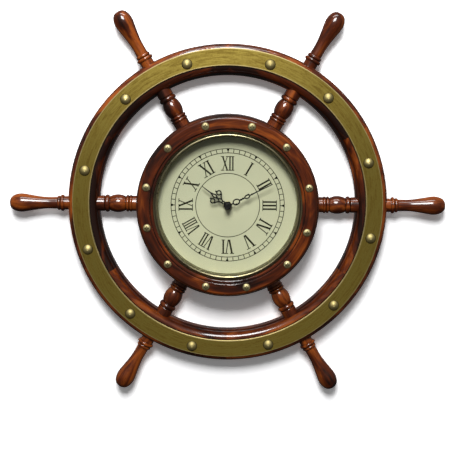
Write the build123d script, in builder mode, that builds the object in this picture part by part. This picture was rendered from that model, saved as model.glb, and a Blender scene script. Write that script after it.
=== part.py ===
from build123d import *
from math import acos, asin, cos, pi, radians, sin, tan
import os

# Ship's-wheel wall clock, in millimetres. The wheel's axis is the Y axis, the wall is the plane Y = 0,
# the front looks along -Y, Z is up. Depths are measured from the wall towards the room.

# Fits and cuts used all over
FIT = 0.1
RUNNING_FIT = 0.03
END_PLAY = 0.2
OVERRUN = 2.0
QUARTER_ROUND_SHARE = cos(radians(45))

# Movement, in order from the wall to the room: cover, going train, middle plate, motion work, case
CASE_BACK = 4.0
COVER_THICKNESS = 1.2
COVER_FRONT = CASE_BACK + COVER_THICKNESS
PIVOT_INSET = 0.7
PIVOT_END = CASE_BACK + PIVOT_INSET
BEARING_RADIUS = 1.3
BEARING_HEIGHT = 1.0
BEARING_GAP = 0.8
WHEEL_WIDTH = 1.0
WHEEL_GAP = 0.5
INTERMEDIATE_BACK = COVER_FRONT + BEARING_HEIGHT + BEARING_GAP
SECONDS_BACK = INTERMEDIATE_BACK + WHEEL_WIDTH + WHEEL_GAP
THIRD_WIDTH = 1.2
THIRD_GAP = 1.0
THIRD_BACK = SECONDS_BACK + WHEEL_WIDTH + THIRD_GAP
PLATE_THICKNESS = 0.8
PLATE_BACK = THIRD_BACK + THIRD_WIDTH + END_PLAY
PLATE_FRONT = PLATE_BACK + PLATE_THICKNESS
CENTRE_WIDTH = 1.2
CENTRE_BACK = PLATE_FRONT + 2 * END_PLAY
MINUTE_COLLAR_GAP = 0.15
MINUTE_COLLAR_THICKNESS = 0.4
MINUTE_COLLAR_BACK = CENTRE_BACK + CENTRE_WIDTH + MINUTE_COLLAR_GAP
CANNON_WIDTH = 1.5
CANNON_BACK = MINUTE_COLLAR_BACK + MINUTE_COLLAR_THICKNESS + MINUTE_COLLAR_GAP
MOTION_POST_REACH = 0.5
MOTION_POST_BACK = CANNON_BACK - MOTION_POST_REACH
HOUR_WHEEL_WIDTH = 1.5
HOUR_WHEEL_BACK = CANNON_BACK + CANNON_WIDTH + WHEEL_GAP
HOUR_WHEEL_GAP = 0.3
CHAMBER_FRONT = HOUR_WHEEL_BACK + HOUR_WHEEL_WIDTH + HOUR_WHEEL_GAP
CASE_FACE = 1.2
CASE_FRONT = CHAMBER_FRONT + CASE_FACE

# Hub web, dial and what clamps the movement to the web
GASKET_THICKNESS = 1.0
GASKET_RADIUS = 8.0
WEB_BACK = CASE_FRONT + GASKET_THICKNESS
WEB_THICKNESS = 5.0
WEB_FRONT = WEB_BACK + WEB_THICKNESS
DIAL_THICKNESS = 2.0
DIAL_FRONT = WEB_FRONT + DIAL_THICKNESS
BUSH_RADIUS = 3.9
BUSH_CLEARANCE = 0.2
WASHER_WIDTH = 1.7
WASHER_RADIUS = BUSH_RADIUS + WASHER_WIDTH
WASHER_THICKNESS = 0.6
NUT_WALL = 1.3
NUT_FLATS = 2 * (BUSH_RADIUS + NUT_WALL)
NUT_THICKNESS = 4.0
NUT_BACK = DIAL_FRONT + WASHER_THICKNESS
BUSH_END = 1.4
BUSH_FRONT = NUT_BACK + NUT_THICKNESS + BUSH_END

# Levels of the hands and the glass
HAND_THICKNESS = 0.6
HOUR_COLLET_GAP = 0.8
HOUR_COLLET_BACK = BUSH_FRONT + HOUR_COLLET_GAP
HOUR_COLLET_HEIGHT = 2.4
HOUR_HAND_RISE = 0.5
HOUR_HAND_BACK = HOUR_COLLET_BACK + HOUR_HAND_RISE
HOUR_PIPE_FRONT = HOUR_COLLET_BACK + HOUR_COLLET_HEIGHT
MINUTE_COLLET_GAP = 0.4
MINUTE_COLLET_BACK = HOUR_PIPE_FRONT + MINUTE_COLLET_GAP
MINUTE_COLLET_HEIGHT = 2.1
MINUTE_COLLET_FRONT = MINUTE_COLLET_BACK + MINUTE_COLLET_HEIGHT
MINUTE_HAND_RISE = 0.7
MINUTE_HAND_BACK = MINUTE_COLLET_BACK + MINUTE_HAND_RISE
CAP_RADIUS = 4.4
CAP_HEIGHT = 3.2
CAP_ROUND = 1.0
CAP_THREAD_DEPTH = 2.5
GLASS_CLEARANCE = 1.1
GLASS_THICKNESS = 2.0
GLASS_BACK = MINUTE_COLLET_FRONT + CAP_HEIGHT + GLASS_CLEARANCE
GLASS_FRONT = GLASS_BACK + GLASS_THICKNESS

# Brass bezel and liner
BEZEL_TUBE_RADIUS = 100.3
BEZEL_TUBE_WALL = 1.7
BEZEL_TUBE_RISE = 4.0
BEZEL_BEAD_WIDTH = 3.3
BEZEL_BEAD_HEIGHT = 2.0
BEZEL_FLANGE_WIDTH = 3.5
BEZEL_FLANGE_RADIUS = BEZEL_TUBE_RADIUS + BEZEL_FLANGE_WIDTH
BEZEL_FLANGE_THICKNESS = 0.8
LINER_WALL = 2.3
LINER_RADIUS = BEZEL_TUBE_RADIUS - BEZEL_TUBE_WALL - FIT
LINER_INNER_RADIUS = LINER_RADIUS - LINER_WALL

# Front ring of the hub, from its lip outwards
RING_LIP_GAP = 2.3
RING_LIP_RADIUS = BEZEL_TUBE_RADIUS + RING_LIP_GAP
RING_LIP_WIDTH = 4.6
RING_LIP_ROUND = 1.8
RING_LIP_DROP = 2.4
RING_GROOVE_WIDTH = 1.0
RING_GROOVE_DEPTH = 0.8
RING_FACE_INNER_RADIUS = RING_LIP_RADIUS + RING_LIP_WIDTH
RING_FACE_WIDTH = 13.2
RING_FACE_OUTER_RADIUS = RING_FACE_INNER_RADIUS + RING_FACE_WIDTH
RING_EDGE_ROUND = 1.4
RING_OVOLO_WIDTH = 4.2
RING_STEP_WIDTH = 1.4
RING_STEP_HEIGHT = 3.6
RING_THICKNESS = 12.0

# Hub: turned body with a dial recess in front and a movement pocket behind
HUB_RADIUS = RING_FACE_OUTER_RADIUS + RING_OVOLO_WIDTH + RING_STEP_WIDTH
HUB_FRONT = GLASS_BACK - BEZEL_TUBE_RISE
HUB_BACK_ROUND = 2.0
RECESS_CLEARANCE = 0.3
RECESS_RADIUS = BEZEL_TUBE_RADIUS + RECESS_CLEARANCE
POCKET_CLEARANCE = 3.0
POCKET_ROUND = 4.0
RING_FRONT = HUB_FRONT + RING_THICKNESS
RING_LIP_FRONT = RING_FRONT - RING_LIP_DROP
RING_STEP_DEPTH = HUB_FRONT + RING_STEP_HEIGHT

# Screws of the front ring, with cross recesses; angles run clockwise from twelve
RING_SCREW_ANGLES = (16.3, 44.0, 76.4, 107.5, 133.6, 166.5, 194.9, 225.8, 255.1, 283.3, 314.2, 344.3)
RING_SCREW_EDGE_DISTANCE = 5.8
RING_SCREW_CIRCLE_RADIUS = RING_FACE_OUTER_RADIUS - RING_SCREW_EDGE_DISTANCE
RING_SCREW_HEAD_RADIUS = 5.6
RING_SCREW_HEAD_HEIGHT = 3.2
RING_SCREW_SHANK_RADIUS = 2.0
RING_SCREW_GRIP_LENGTH = 10.0
RING_SCREW_SHANK_LENGTH = RING_THICKNESS + RING_SCREW_GRIP_LENGTH
RING_SCREW_CROSS_LENGTH = 6.4
RING_SCREW_CROSS_WIDTH = 1.3
RING_SCREW_CROSS_DEPTH = 1.8

# Rim: six felloes with a moulding on both edges of the brass band
SPOKE_COUNT = 6
SPOKE_PITCH = 360 / SPOKE_COUNT
SPOKE_ANGLES = [SPOKE_PITCH * count for count in range(SPOKE_COUNT)]
RIM_RADIUS = 222.0
RIM_WIDTH = 43.0
RIM_INNER_RADIUS = RIM_RADIUS - RIM_WIDTH
RIM_BACK = 3.0
RIM_THICKNESS = 27.0
RIM_FRONT = RIM_BACK + RIM_THICKNESS
RIM_BACK_ROUND = 3.0
RIM_OUTER_MOULDING_WIDTH = 6.0
RIM_OUTER_MOULDING_HEIGHT = 7.0
RIM_OUTER_STEP_WIDTH = 1.2
RIM_OUTER_STEP_DEPTH = RIM_FRONT - RIM_OUTER_MOULDING_HEIGHT
RIM_INNER_MOULDING_WIDTH = 13.0
RIM_INNER_MOULDING_HEIGHT = 10.0
RIM_INNER_STEP_WIDTH = 2.2
RIM_INNER_STEP_DEPTH = RIM_FRONT - RIM_INNER_MOULDING_HEIGHT
QUIRK_WIDTH = 1.3
QUIRK_DEPTH = 1.2

# Brass band on the rim and its rivets, set by hand; angles run clockwise from twelve
BAND_INNER_RADIUS = RIM_INNER_RADIUS + RIM_INNER_MOULDING_WIDTH
BAND_OUTER_RADIUS = RIM_RADIUS - RIM_OUTER_MOULDING_WIDTH
BAND_THICKNESS = 1.5
BAND_BEVEL = 0.8
BAND_FRONT = RIM_FRONT + BAND_THICKNESS
RIVET_ANGLES = (16.1, 42.1, 72.1, 102.0, 132.6, 163.3, 193.9, 221.8, 252.6, 284.0, 316.3, 343.8)
RIVET_CIRCLE_RADIUS = (BAND_INNER_RADIUS + BAND_OUTER_RADIUS) / 2
RIVET_CIRCLE_DROP = 2.2
RIVET_HEAD_RADIUS = 7.4
RIVET_HEAD_HEIGHT = 4.4
RIVET_SHANK_RADIUS = 1.8
RIVET_SHANK_LENGTH = 13.0

# Turned spokes: foot, two beads, barrel, collar bead, end, as shares of the span from hub to rim;
# a swelling's height is a share of its own length
SPOKE_BACK_DISTANCE = 11.5
SPOKE_DEPTH = RIM_BACK + SPOKE_BACK_DISTANCE
SPOKE_SPAN = RIM_INNER_RADIUS - HUB_RADIUS
SPOKE_FOOT_SHARE = 0.132
SPOKE_BEAD_SHARE = 0.085
SPOKE_BARREL_SHARE = 0.43
SPOKE_COLLAR_SHARE = 0.125
SPOKE_BEAD_HEIGHT_SHARE = 0.48
SPOKE_BARREL_HEIGHT_SHARE = 0.13
SPOKE_COLLAR_HEIGHT_SHARE = 0.39
SPOKE_FOOT_SEAT_DEPTH = 1.2
SPOKE_FOOT_RADIUS = 10.8
SPOKE_GROOVE_DEPTH = 1.2
SPOKE_GROOVE_RADIUS = SPOKE_FOOT_RADIUS - SPOKE_GROOVE_DEPTH
SPOKE_END_STEP = 1.3
SPOKE_END_RADIUS = SPOKE_GROOVE_RADIUS + SPOKE_END_STEP
SPOKE_END_ROUND = 1.4
SPOKE_END_SEAT_DEPTH = 7.5
SPOKE_END_SEAT_RADIUS = RIM_INNER_RADIUS + SPOKE_END_SEAT_DEPTH
TENON_SHOULDER = 4.8
TENON_RADIUS = SPOKE_FOOT_RADIUS - TENON_SHOULDER
SPOKE_HUB_TENON_LENGTH = 16.0
SPOKE_RIM_TENON_LENGTH = 12.0

# Turned handles: base, collar, bead, neck, grip; the wood left between a handle's and a spoke's tenon
HANDLE_LENGTH = 83.0
HANDLE_SEAT_DEPTH = 1.4
HANDLE_BASE_LENGTH = 6.8
HANDLE_BASE_WALL = 3.4
HANDLE_BASE_RADIUS = TENON_RADIUS + HANDLE_BASE_WALL
HANDLE_COLLAR_LENGTH = 4.4
HANDLE_COLLAR_STEP = 0.9
HANDLE_COLLAR_EDGE_RADIUS = HANDLE_BASE_RADIUS + HANDLE_COLLAR_STEP
HANDLE_COLLAR_HEIGHT = 1.3
HANDLE_COLLAR_RADIUS = HANDLE_COLLAR_EDGE_RADIUS + HANDLE_COLLAR_HEIGHT
HANDLE_NECK_WALL = 2.2
HANDLE_NECK_RADIUS = TENON_RADIUS + HANDLE_NECK_WALL
HANDLE_BEAD_LENGTH = 5.3
HANDLE_BEAD_HEIGHT = 1.9
HANDLE_BEAD_RADIUS = HANDLE_NECK_RADIUS + HANDLE_BEAD_HEIGHT
HANDLE_GRIP_RADIUS = 12.9
HANDLE_GRIP_SHARES = ((0.2, 0.63), (0.33, 0.68), (0.46, 0.78), (0.6, 0.9), (0.75, 1.0), (0.9, 0.84))
TENON_GAP = 4.1
HANDLE_TENON_LENGTH = (
    RIM_WIDTH - SPOKE_END_SEAT_DEPTH - SPOKE_RIM_TENON_LENGTH - TENON_GAP - HANDLE_SEAT_DEPTH
)

# Keyhole hanger let into the back of the hub
HANGER_EDGE_DISTANCE = 46.0
HANGER_HEIGHT = HUB_RADIUS - HANGER_EDGE_DISTANCE
HANGER_WIDTH = 26.0
HANGER_LENGTH = 56.0
HANGER_THICKNESS = 2.5
HANGER_ROUND = 4.0
KEYHOLE_RADIUS = 6.0
KEYHOLE_SLOT_WIDTH = 6.0
KEYHOLE_DROP = 6.0
KEYHOLE_HEIGHT = HANGER_HEIGHT - KEYHOLE_DROP
KEYHOLE_SLOT_LENGTH = 12.0
KEYHOLE_CAVITY_CLEARANCE = 1.5
KEYHOLE_CAVITY_WIDTH = 2 * (KEYHOLE_RADIUS + KEYHOLE_CAVITY_CLEARANCE)
KEYHOLE_CAVITY_DEPTH = 12.0
HANGER_SCREW_EDGE_DISTANCE = 6.0
HANGER_SCREW_SPACING = HANGER_LENGTH - 2 * HANGER_SCREW_EDGE_DISTANCE
HANGER_SCREW_HEAD_RADIUS = 3.0
HANGER_SCREW_SHANK_RADIUS = 1.4
HANGER_SCREW_LENGTH = 14.0
HANGER_SCREW_SLOT_WIDTH = 0.8
HANGER_SCREW_SLOT_DEPTH = 0.6

# Battery, size AA, and its contacts
BATTERY_RADIUS = 7.0
BATTERY_BODY_LENGTH = 49.0
BATTERY_NUB_RADIUS = 2.75
BATTERY_NUB_LENGTH = 1.5
BATTERY_CLEARANCE = 0.3
CONTACT_SPACE = 1.35
CONTACT_SIZE = 10.0
CONTACT_THICKNESS = 0.4
CONTACT_DIMPLE_RADIUS = 2.2

# Movement case seen from the room: gear chamber above, battery bay below
CASE_ROUND = 3.0
CASE_WALL = 1.4
CHAMBER_TOP = 26.6
CHAMBER_BOTTOM = -10.8
BAY_WALL = 1.2
BAY_TOP = CHAMBER_BOTTOM - BAY_WALL
BATTERY_HEIGHT = BAY_TOP - BATTERY_CLEARANCE - BATTERY_RADIUS
BATTERY_DEPTH = CHAMBER_FRONT - FIT - BATTERY_RADIUS
BAY_BOTTOM = BATTERY_HEIGHT - BATTERY_RADIUS - BATTERY_CLEARANCE
CHAMBER_WIDTH = BATTERY_BODY_LENGTH + BATTERY_NUB_LENGTH + 2 * CONTACT_SPACE
CASE_WIDTH = CHAMBER_WIDTH + 2 * CASE_WALL
CASE_TOP = CHAMBER_TOP + CASE_WALL
CASE_BOTTOM = BAY_BOTTOM - CASE_WALL
LEDGE_SIZE = 3.0
PLATE_LEFT = -16.0
PLATE_RIGHT = 18.5
PLATE_BOTTOM = -10.2
PLATE_TOP = 15.4
PLATE_ROUND = 2.0
PILLAR_RADIUS = 1.5
PILLAR_PEG_RADIUS = 0.8
PILLAR_PLACES = ((-13.5, -7.6), (15.6, -7.6), (-3.5, 13.2))

# Motion work: cannon pinion, motion wheel, hour wheel, setting pinion
PRESSURE_ANGLE = radians(25)
ADDENDUM_SHARE = 0.8
DEDENDUM_SHARE = 1.05
BACKLASH_SHARE = 0.16
MINUTE_ARBOR_RADIUS = 1.6
MINUTE_THREAD_STEP = 0.35
MINUTE_THREAD_RADIUS = MINUTE_ARBOR_RADIUS - MINUTE_THREAD_STEP
MINUTE_COLLAR_RADIUS = 2.6
CANNON_MODULE = 0.35
CANNON_TEETH = 12
MOTION_WHEEL_TEETH = 36
MOTION_PINION_TEETH = 12
HOUR_WHEEL_TEETH = 48
MOTION_ANGLE = 45.0
MOTION_POST_RADIUS = 0.8
HOUR_PIPE_RADIUS = 2.5
KNOB_RADIUS = 5.0
KNOB_FRONT = CASE_BACK - END_PLAY
KNOB_THICKNESS = 2.6
KNOB_BACK = KNOB_FRONT - KNOB_THICKNESS
KNOB_FLUTES = 16
KNOB_FLUTE_RADIUS = 0.5
KNOB_SHAFT_RADIUS = 1.0

# Going train: rotor, intermediate, seconds, third and centre wheels
ARBOR_RADIUS = 0.5
PINION_TEETH = 10
INTERMEDIATE_TEETH = 50
SECONDS_TEETH = 60
THIRD_TEETH = 75
CENTRE_TEETH = 80
ROTOR_MODULE = 0.2
INTERMEDIATE_MODULE = 0.22
CENTRE_MODULE = 0.2
INTERMEDIATE_ANGLE = 150.0
THIRD_ANGLE = 0.0
MAGNET_RADIUS = 2.6
MAGNET_LENGTH = 2.6

# Stepping motor
STATOR_RISE = 4.3
STATOR_BACK = COVER_FRONT + STATOR_RISE
STATOR_THICKNESS = 1.2
MAGNET_BACK = STATOR_BACK + (STATOR_THICKNESS - MAGNET_LENGTH) / 2
STATOR_GAP = 0.7
STATOR_BORE_RADIUS = MAGNET_RADIUS + STATOR_GAP
STATOR_LEFT = -16.4
STATOR_RIGHT = -7.6
STATOR_BOTTOM = 2.6
STATOR_TOP = 11.2
STATOR_FOOT_LEFT = -22.6
STATOR_FOOT_WIDTH = 2.6
STATOR_LEG_LEFT = -13.6
STATOR_LEG_RIGHT = -10.2
CORE_BOTTOM = -9.6
CORE_X = -21.0
CORE_WIDTH = 2.4
CORE_THICKNESS = 1.2
COIL_BOTTOM = -5.5
COIL_TOP = 7.2
COIL_RADIUS = 3.2
COIL_INNER_RADIUS = 1.9
BOBBIN_FLANGE = 6.8
BOBBIN_FLANGE_THICKNESS = 1.0
STATOR_BOSS_RADIUS = 1.0
STATOR_BOSS_PLACES = ((-15.3, 3.7), (-15.3, 10.0))

# Circuit board
BOARD_LEFT = -14.0
BOARD_RIGHT = 23.3
BOARD_BOTTOM = 16.5
BOARD_TOP = 25.5
BOARD_RISE = 5.8
BOARD_BACK = COVER_FRONT + BOARD_RISE
BOARD_THICKNESS = 1.0
BOARD_POST_PLACES = ((-10.0, 21.0), (19.0, 21.0))
CHIP_PLACE = (-4.0, 21.0)
CHIP_WIDTH = 6.0
CHIP_HEIGHT = 4.0
CHIP_THICKNESS = 1.0
CRYSTAL_PLACE = (8.0, 21.0)
CRYSTAL_RADIUS = 1.0
CRYSTAL_LENGTH = 6.0

# Hands; angles run clockwise from twelve, outline points are shares of a hand's length
HAND_STROKE = 1.8
HOUR_HAND_ANGLE = 307.4
HOUR_HAND_LENGTH = 45.0
HOUR_COLLET_WALL = 1.5
HOUR_COLLET_RADIUS = HOUR_PIPE_RADIUS + HOUR_COLLET_WALL
HOUR_LOOP_SHARE = 0.168
HOUR_LOOP_RADIUS_SHARE = 0.058
HOUR_ARM_SHARES = ((0.2, 0.02), (0.284, 0.056), (0.336, 0.1), (0.385, 0.19))
HOUR_CROSS_SHARES = ((0.275, 0.05), (0.5, -0.05), (0.645, 0.0))
HOUR_RING_SHARES = (0.46, 0.156)
HOUR_RING_RADIUS_SHARE = 0.086
HOUR_SPUR_SHARES = ((0.515, 0.12), (0.585, 0.143))
HOUR_DIAMOND_SHARES = ((0.6, 0.0), (0.636, 0.042), (0.675, 0.0), (0.636, -0.042))
HOUR_NEEDLE_SHARES = ((0.62, 0.021), (1.0, 0.011), (1.0, -0.011), (0.62, -0.021))
MINUTE_HAND_ANGLE = 63.4
MINUTE_HAND_LENGTH = 69.0
MINUTE_COLLET_WALL = 1.8
MINUTE_COLLET_RADIUS = MINUTE_ARBOR_RADIUS + MINUTE_COLLET_WALL
MINUTE_STEM_SHARES = ((0.03, 0.0), (0.125, 0.0))
MINUTE_LOOP_SHARE = 0.194
MINUTE_LOOP_SIZE_SHARES = (0.08, 0.065)
MINUTE_TWIST_SHARES = ((0.27, 0.0), (0.38, 0.0))
MINUTE_BEADS_SHARES = ((0.298, 0.0), (0.343, 0.004), (0.178, -0.045), (0.474, 0.027))
MINUTE_BEAD_RADIUS_SHARE = 0.02
MINUTE_SECOND_LOOP_SHARE = 0.438
MINUTE_SECOND_LOOP_SIZE_SHARES = (0.066, 0.043)
MINUTE_NECK_SHARES = ((0.495, 0.0), (0.54, 0.0))
MINUTE_DIAMOND_SHARES = ((0.515, 0.0), (0.54, 0.024), (0.567, 0.0), (0.54, -0.024))
MINUTE_NEEDLE_SHARES = ((0.53, 0.013), (1.0, 0.008), (1.0, -0.008), (0.53, -0.013))

# The wheel's section: distance from the axis across, depth up
SECTION = Plane(origin=(0, 0, 0), x_dir=(1, 0, 0), z_dir=(0, 0, -1))


def front(depth):
    """Plane at a depth in front of the wall, facing the room."""
    return Plane.XZ.offset(depth)


def clock_place(radius, angle, depth, drop=0):
    """Plane facing the room at a clock angle on a circle round a point that far below the axis."""
    turn = radians(90 - angle)
    place = (radius * cos(turn), -depth, radius * sin(turn) - drop)
    return Plane(origin=place, x_dir=(1, 0, 0), z_dir=(0, -1, 0))


def hand_plane(angle, depth):
    """Plane facing the room whose x axis points along a hand."""
    turn = radians(90 - angle)
    return Plane(origin=(0, -depth, 0), x_dir=(cos(turn), 0, sin(turn)), z_dir=(0, -1, 0))


def axial_plane(angle, depth):
    """Plane through a radial line: local x runs outwards along it, local y towards the room."""
    turn = radians(angle)
    return Plane(origin=(0, -depth, 0), x_dir=(cos(turn), 0, sin(turn)), z_dir=(sin(turn), 0, -cos(turn)))


def shaft_axis(place):
    """Axis of a shaft at a place on the movement, pointing to the room."""
    across, up = place
    return Axis((across, 0, up), (0, -1, 0))


def from_shares(length, shares):
    """Outline points from their shares of one length."""
    return [(length * across, length * up) for across, up in shares]


def round_mid(low, high):
    """Middle point of a quarter round that rises from low and levels out at high."""
    across = high[0] + (low[0] - high[0]) * QUARTER_ROUND_SHARE
    up = low[1] + (high[1] - low[1]) * QUARTER_ROUND_SHARE
    return (across, up)


def dome_mid(radius, height):
    """Middle point of a ball-shaped head's profile, from its edge to its crown on the axis."""
    ball = (radius * radius + height * height) / (2 * height)
    half_turn = asin(radius / ball) / 2
    return (ball * sin(half_turn), height - ball + ball * cos(half_turn))


def spoke_bore(angle, start, end, radius):
    """Section of a round hole along a spoke's axis."""
    with BuildSketch(axial_plane(angle, SPOKE_DEPTH)) as hole:
        with BuildLine():
            Polyline((start, 0), (end, 0), (end, radius), (start, radius), close=True)
        make_face()
    return hole.sketch


def spoke_axis(angle):
    """Axis of a spoke, pointing outwards."""
    plane = axial_plane(angle, SPOKE_DEPTH)
    return Axis(plane.origin, plane.x_dir)


def polar(distance, angle):
    """Place at a distance and angle from the movement's centre."""
    return (distance * cos(radians(angle)), distance * sin(radians(angle)))


def centre_distance(first_teeth, second_teeth, module):
    return (first_teeth + second_teeth) * module / 2


def mesh_phase(first_phase, first_teeth, second_teeth, direction):
    """Angle of a tooth of the second gear so that it meshes with the first, lying in that direction."""
    lead = (direction - first_phase) % (360 / first_teeth)
    return direction + 180 + lead * first_teeth / second_teeth + 180 / second_teeth


def gear_outline(depth, place, teeth, module, phase):
    """Gear with involute teeth on a plane facing the room."""
    pitch_radius = teeth * module / 2
    base_radius = pitch_radius * cos(PRESSURE_ANGLE)
    root_radius = pitch_radius - module * DEDENDUM_SHARE
    tip_radius = pitch_radius + module * ADDENDUM_SHARE
    radii = sorted({root_radius, max(root_radius, base_radius), pitch_radius, tip_radius})
    flank = []
    for radius in radii:
        pressure = acos(min(1, base_radius / radius))
        thinning = tan(pressure) - pressure - tan(PRESSURE_ANGLE) + PRESSURE_ANGLE
        flank.append((radius, pi / 2 / teeth * (1 - BACKLASH_SHARE) - thinning))
    points = []
    for count in range(teeth):
        middle = radians(phase) + 2 * pi * count / teeth
        points += [(radius, middle - half) for radius, half in flank]
        points += [(radius, middle + half) for radius, half in reversed(flank)]
    with BuildSketch(front(depth)) as outline:
        with Locations(place):
            Polygon(*[(radius * cos(turn), radius * sin(turn)) for radius, turn in points], align=None)
    return outline.sketch


def disc(depth, place, radius):
    """Round outline on a plane facing the room."""
    with BuildSketch(front(depth)) as outline:
        with Locations(place):
            Circle(radius)
    return outline.sketch


os.makedirs("parts", exist_ok=True)

# Felloes: one sixth of the rim each, centred on a spoke
handle_seat = RIM_RADIUS - HANDLE_SEAT_DEPTH
rivet_seats = [
    clock_place(RIVET_CIRCLE_RADIUS, angle, BAND_FRONT, RIVET_CIRCLE_DROP) for angle in RIVET_ANGLES
]
outer_low = (RIM_RADIUS - RIM_OUTER_STEP_WIDTH, RIM_OUTER_STEP_DEPTH)
outer_high = (BAND_OUTER_RADIUS, RIM_FRONT)
inner_low = (RIM_INNER_RADIUS + RIM_INNER_STEP_WIDTH, RIM_INNER_STEP_DEPTH)
inner_high = (BAND_INNER_RADIUS - QUIRK_WIDTH, RIM_FRONT)
for number, angle in enumerate(SPOKE_ANGLES, start=1):
    with BuildPart() as felloe:
        with BuildSketch(axial_plane(angle + SPOKE_PITCH / 2, 0)):
            with BuildLine():
                Polyline(
                    (RIM_INNER_RADIUS, RIM_INNER_STEP_DEPTH),
                    (RIM_INNER_RADIUS, RIM_BACK + RIM_BACK_ROUND),
                    (RIM_INNER_RADIUS + RIM_BACK_ROUND, RIM_BACK),
                    (RIM_RADIUS - RIM_BACK_ROUND, RIM_BACK),
                    (RIM_RADIUS, RIM_BACK + RIM_BACK_ROUND),
                    (RIM_RADIUS, RIM_OUTER_STEP_DEPTH),
                    outer_low,
                )
                ThreePointArc(outer_low, round_mid(outer_low, outer_high), outer_high)
                Polyline(
                    outer_high,
                    (BAND_INNER_RADIUS, RIM_FRONT),
                    (BAND_INNER_RADIUS, RIM_FRONT - QUIRK_DEPTH),
                    (BAND_INNER_RADIUS - QUIRK_WIDTH, RIM_FRONT - QUIRK_DEPTH),
                    inner_high,
                )
                ThreePointArc(inner_high, round_mid(inner_low, inner_high), inner_low)
                Line(inner_low, (RIM_INNER_RADIUS, RIM_INNER_STEP_DEPTH))
            make_face()
        revolve(axis=Axis.Y, revolution_arc=SPOKE_PITCH)
        spoke_tenon_end = SPOKE_END_SEAT_RADIUS + SPOKE_RIM_TENON_LENGTH
        handle_tenon_end = handle_seat - HANDLE_TENON_LENGTH
        revolve(
            spoke_bore(angle, RIM_INNER_RADIUS - OVERRUN, SPOKE_END_SEAT_RADIUS, SPOKE_END_RADIUS + FIT),
            axis=spoke_axis(angle),
            mode=Mode.SUBTRACT,
        )
        revolve(
            spoke_bore(angle, SPOKE_END_SEAT_RADIUS, spoke_tenon_end + FIT, TENON_RADIUS + FIT),
            axis=spoke_axis(angle),
            mode=Mode.SUBTRACT,
        )
        revolve(
            spoke_bore(angle, handle_tenon_end - FIT, RIM_RADIUS, TENON_RADIUS + FIT),
            axis=spoke_axis(angle),
            mode=Mode.SUBTRACT,
        )
        revolve(
            spoke_bore(angle, handle_seat, RIM_RADIUS + OVERRUN, HANDLE_BASE_RADIUS + FIT),
            axis=spoke_axis(angle),
            mode=Mode.SUBTRACT,
        )
        with BuildSketch(front(BAND_FRONT - RIVET_SHANK_LENGTH - FIT)):
            with Locations(*[(seat.origin.X, seat.origin.Z) for seat in rivet_seats]):
                Circle(RIVET_SHANK_RADIUS + FIT)
        extrude(amount=RIVET_SHANK_LENGTH + FIT + OVERRUN, mode=Mode.SUBTRACT)
    felloe.part.label = f"felloe_{number}"
    export_step(felloe.part, f"parts/felloe_{number}.step")

# Brass band
with BuildPart() as brass_band:
    with BuildSketch(SECTION):
        with BuildLine():
            Polyline(
                (BAND_INNER_RADIUS, RIM_FRONT),
                (BAND_OUTER_RADIUS, RIM_FRONT),
                (BAND_OUTER_RADIUS, BAND_FRONT - BAND_BEVEL),
                (BAND_OUTER_RADIUS - BAND_BEVEL, BAND_FRONT),
                (BAND_INNER_RADIUS + BAND_BEVEL, BAND_FRONT),
                (BAND_INNER_RADIUS, BAND_FRONT - BAND_BEVEL),
                close=True,
            )
        make_face()
    revolve(axis=Axis.Y)
    with BuildSketch(front(RIM_FRONT)):
        with Locations(*[(seat.origin.X, seat.origin.Z) for seat in rivet_seats]):
            Circle(RIVET_SHANK_RADIUS + FIT)
    extrude(amount=BAND_THICKNESS, mode=Mode.SUBTRACT)
brass_band.part.label = "brass_band"
export_step(brass_band.part, "parts/brass_band.step")

# Rivets with domed heads
with BuildPart() as rivet:
    with BuildSketch(Plane.XZ):
        with BuildLine():
            ThreePointArc(
                (RIVET_HEAD_RADIUS, 0),
                dome_mid(RIVET_HEAD_RADIUS, RIVET_HEAD_HEIGHT),
                (0, RIVET_HEAD_HEIGHT),
            )
            Polyline(
                (0, RIVET_HEAD_HEIGHT),
                (0, -RIVET_SHANK_LENGTH),
                (RIVET_SHANK_RADIUS, -RIVET_SHANK_LENGTH),
                (RIVET_SHANK_RADIUS, 0),
                (RIVET_HEAD_RADIUS, 0),
            )
        make_face()
    revolve(axis=Axis.Z)
with BuildPart() as band_rivets:
    with Locations(*rivet_seats):
        add(rivet.part)
band_rivets.part.label = "band_rivets"
export_step(band_rivets.part, "parts/band_rivets.step")

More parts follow.
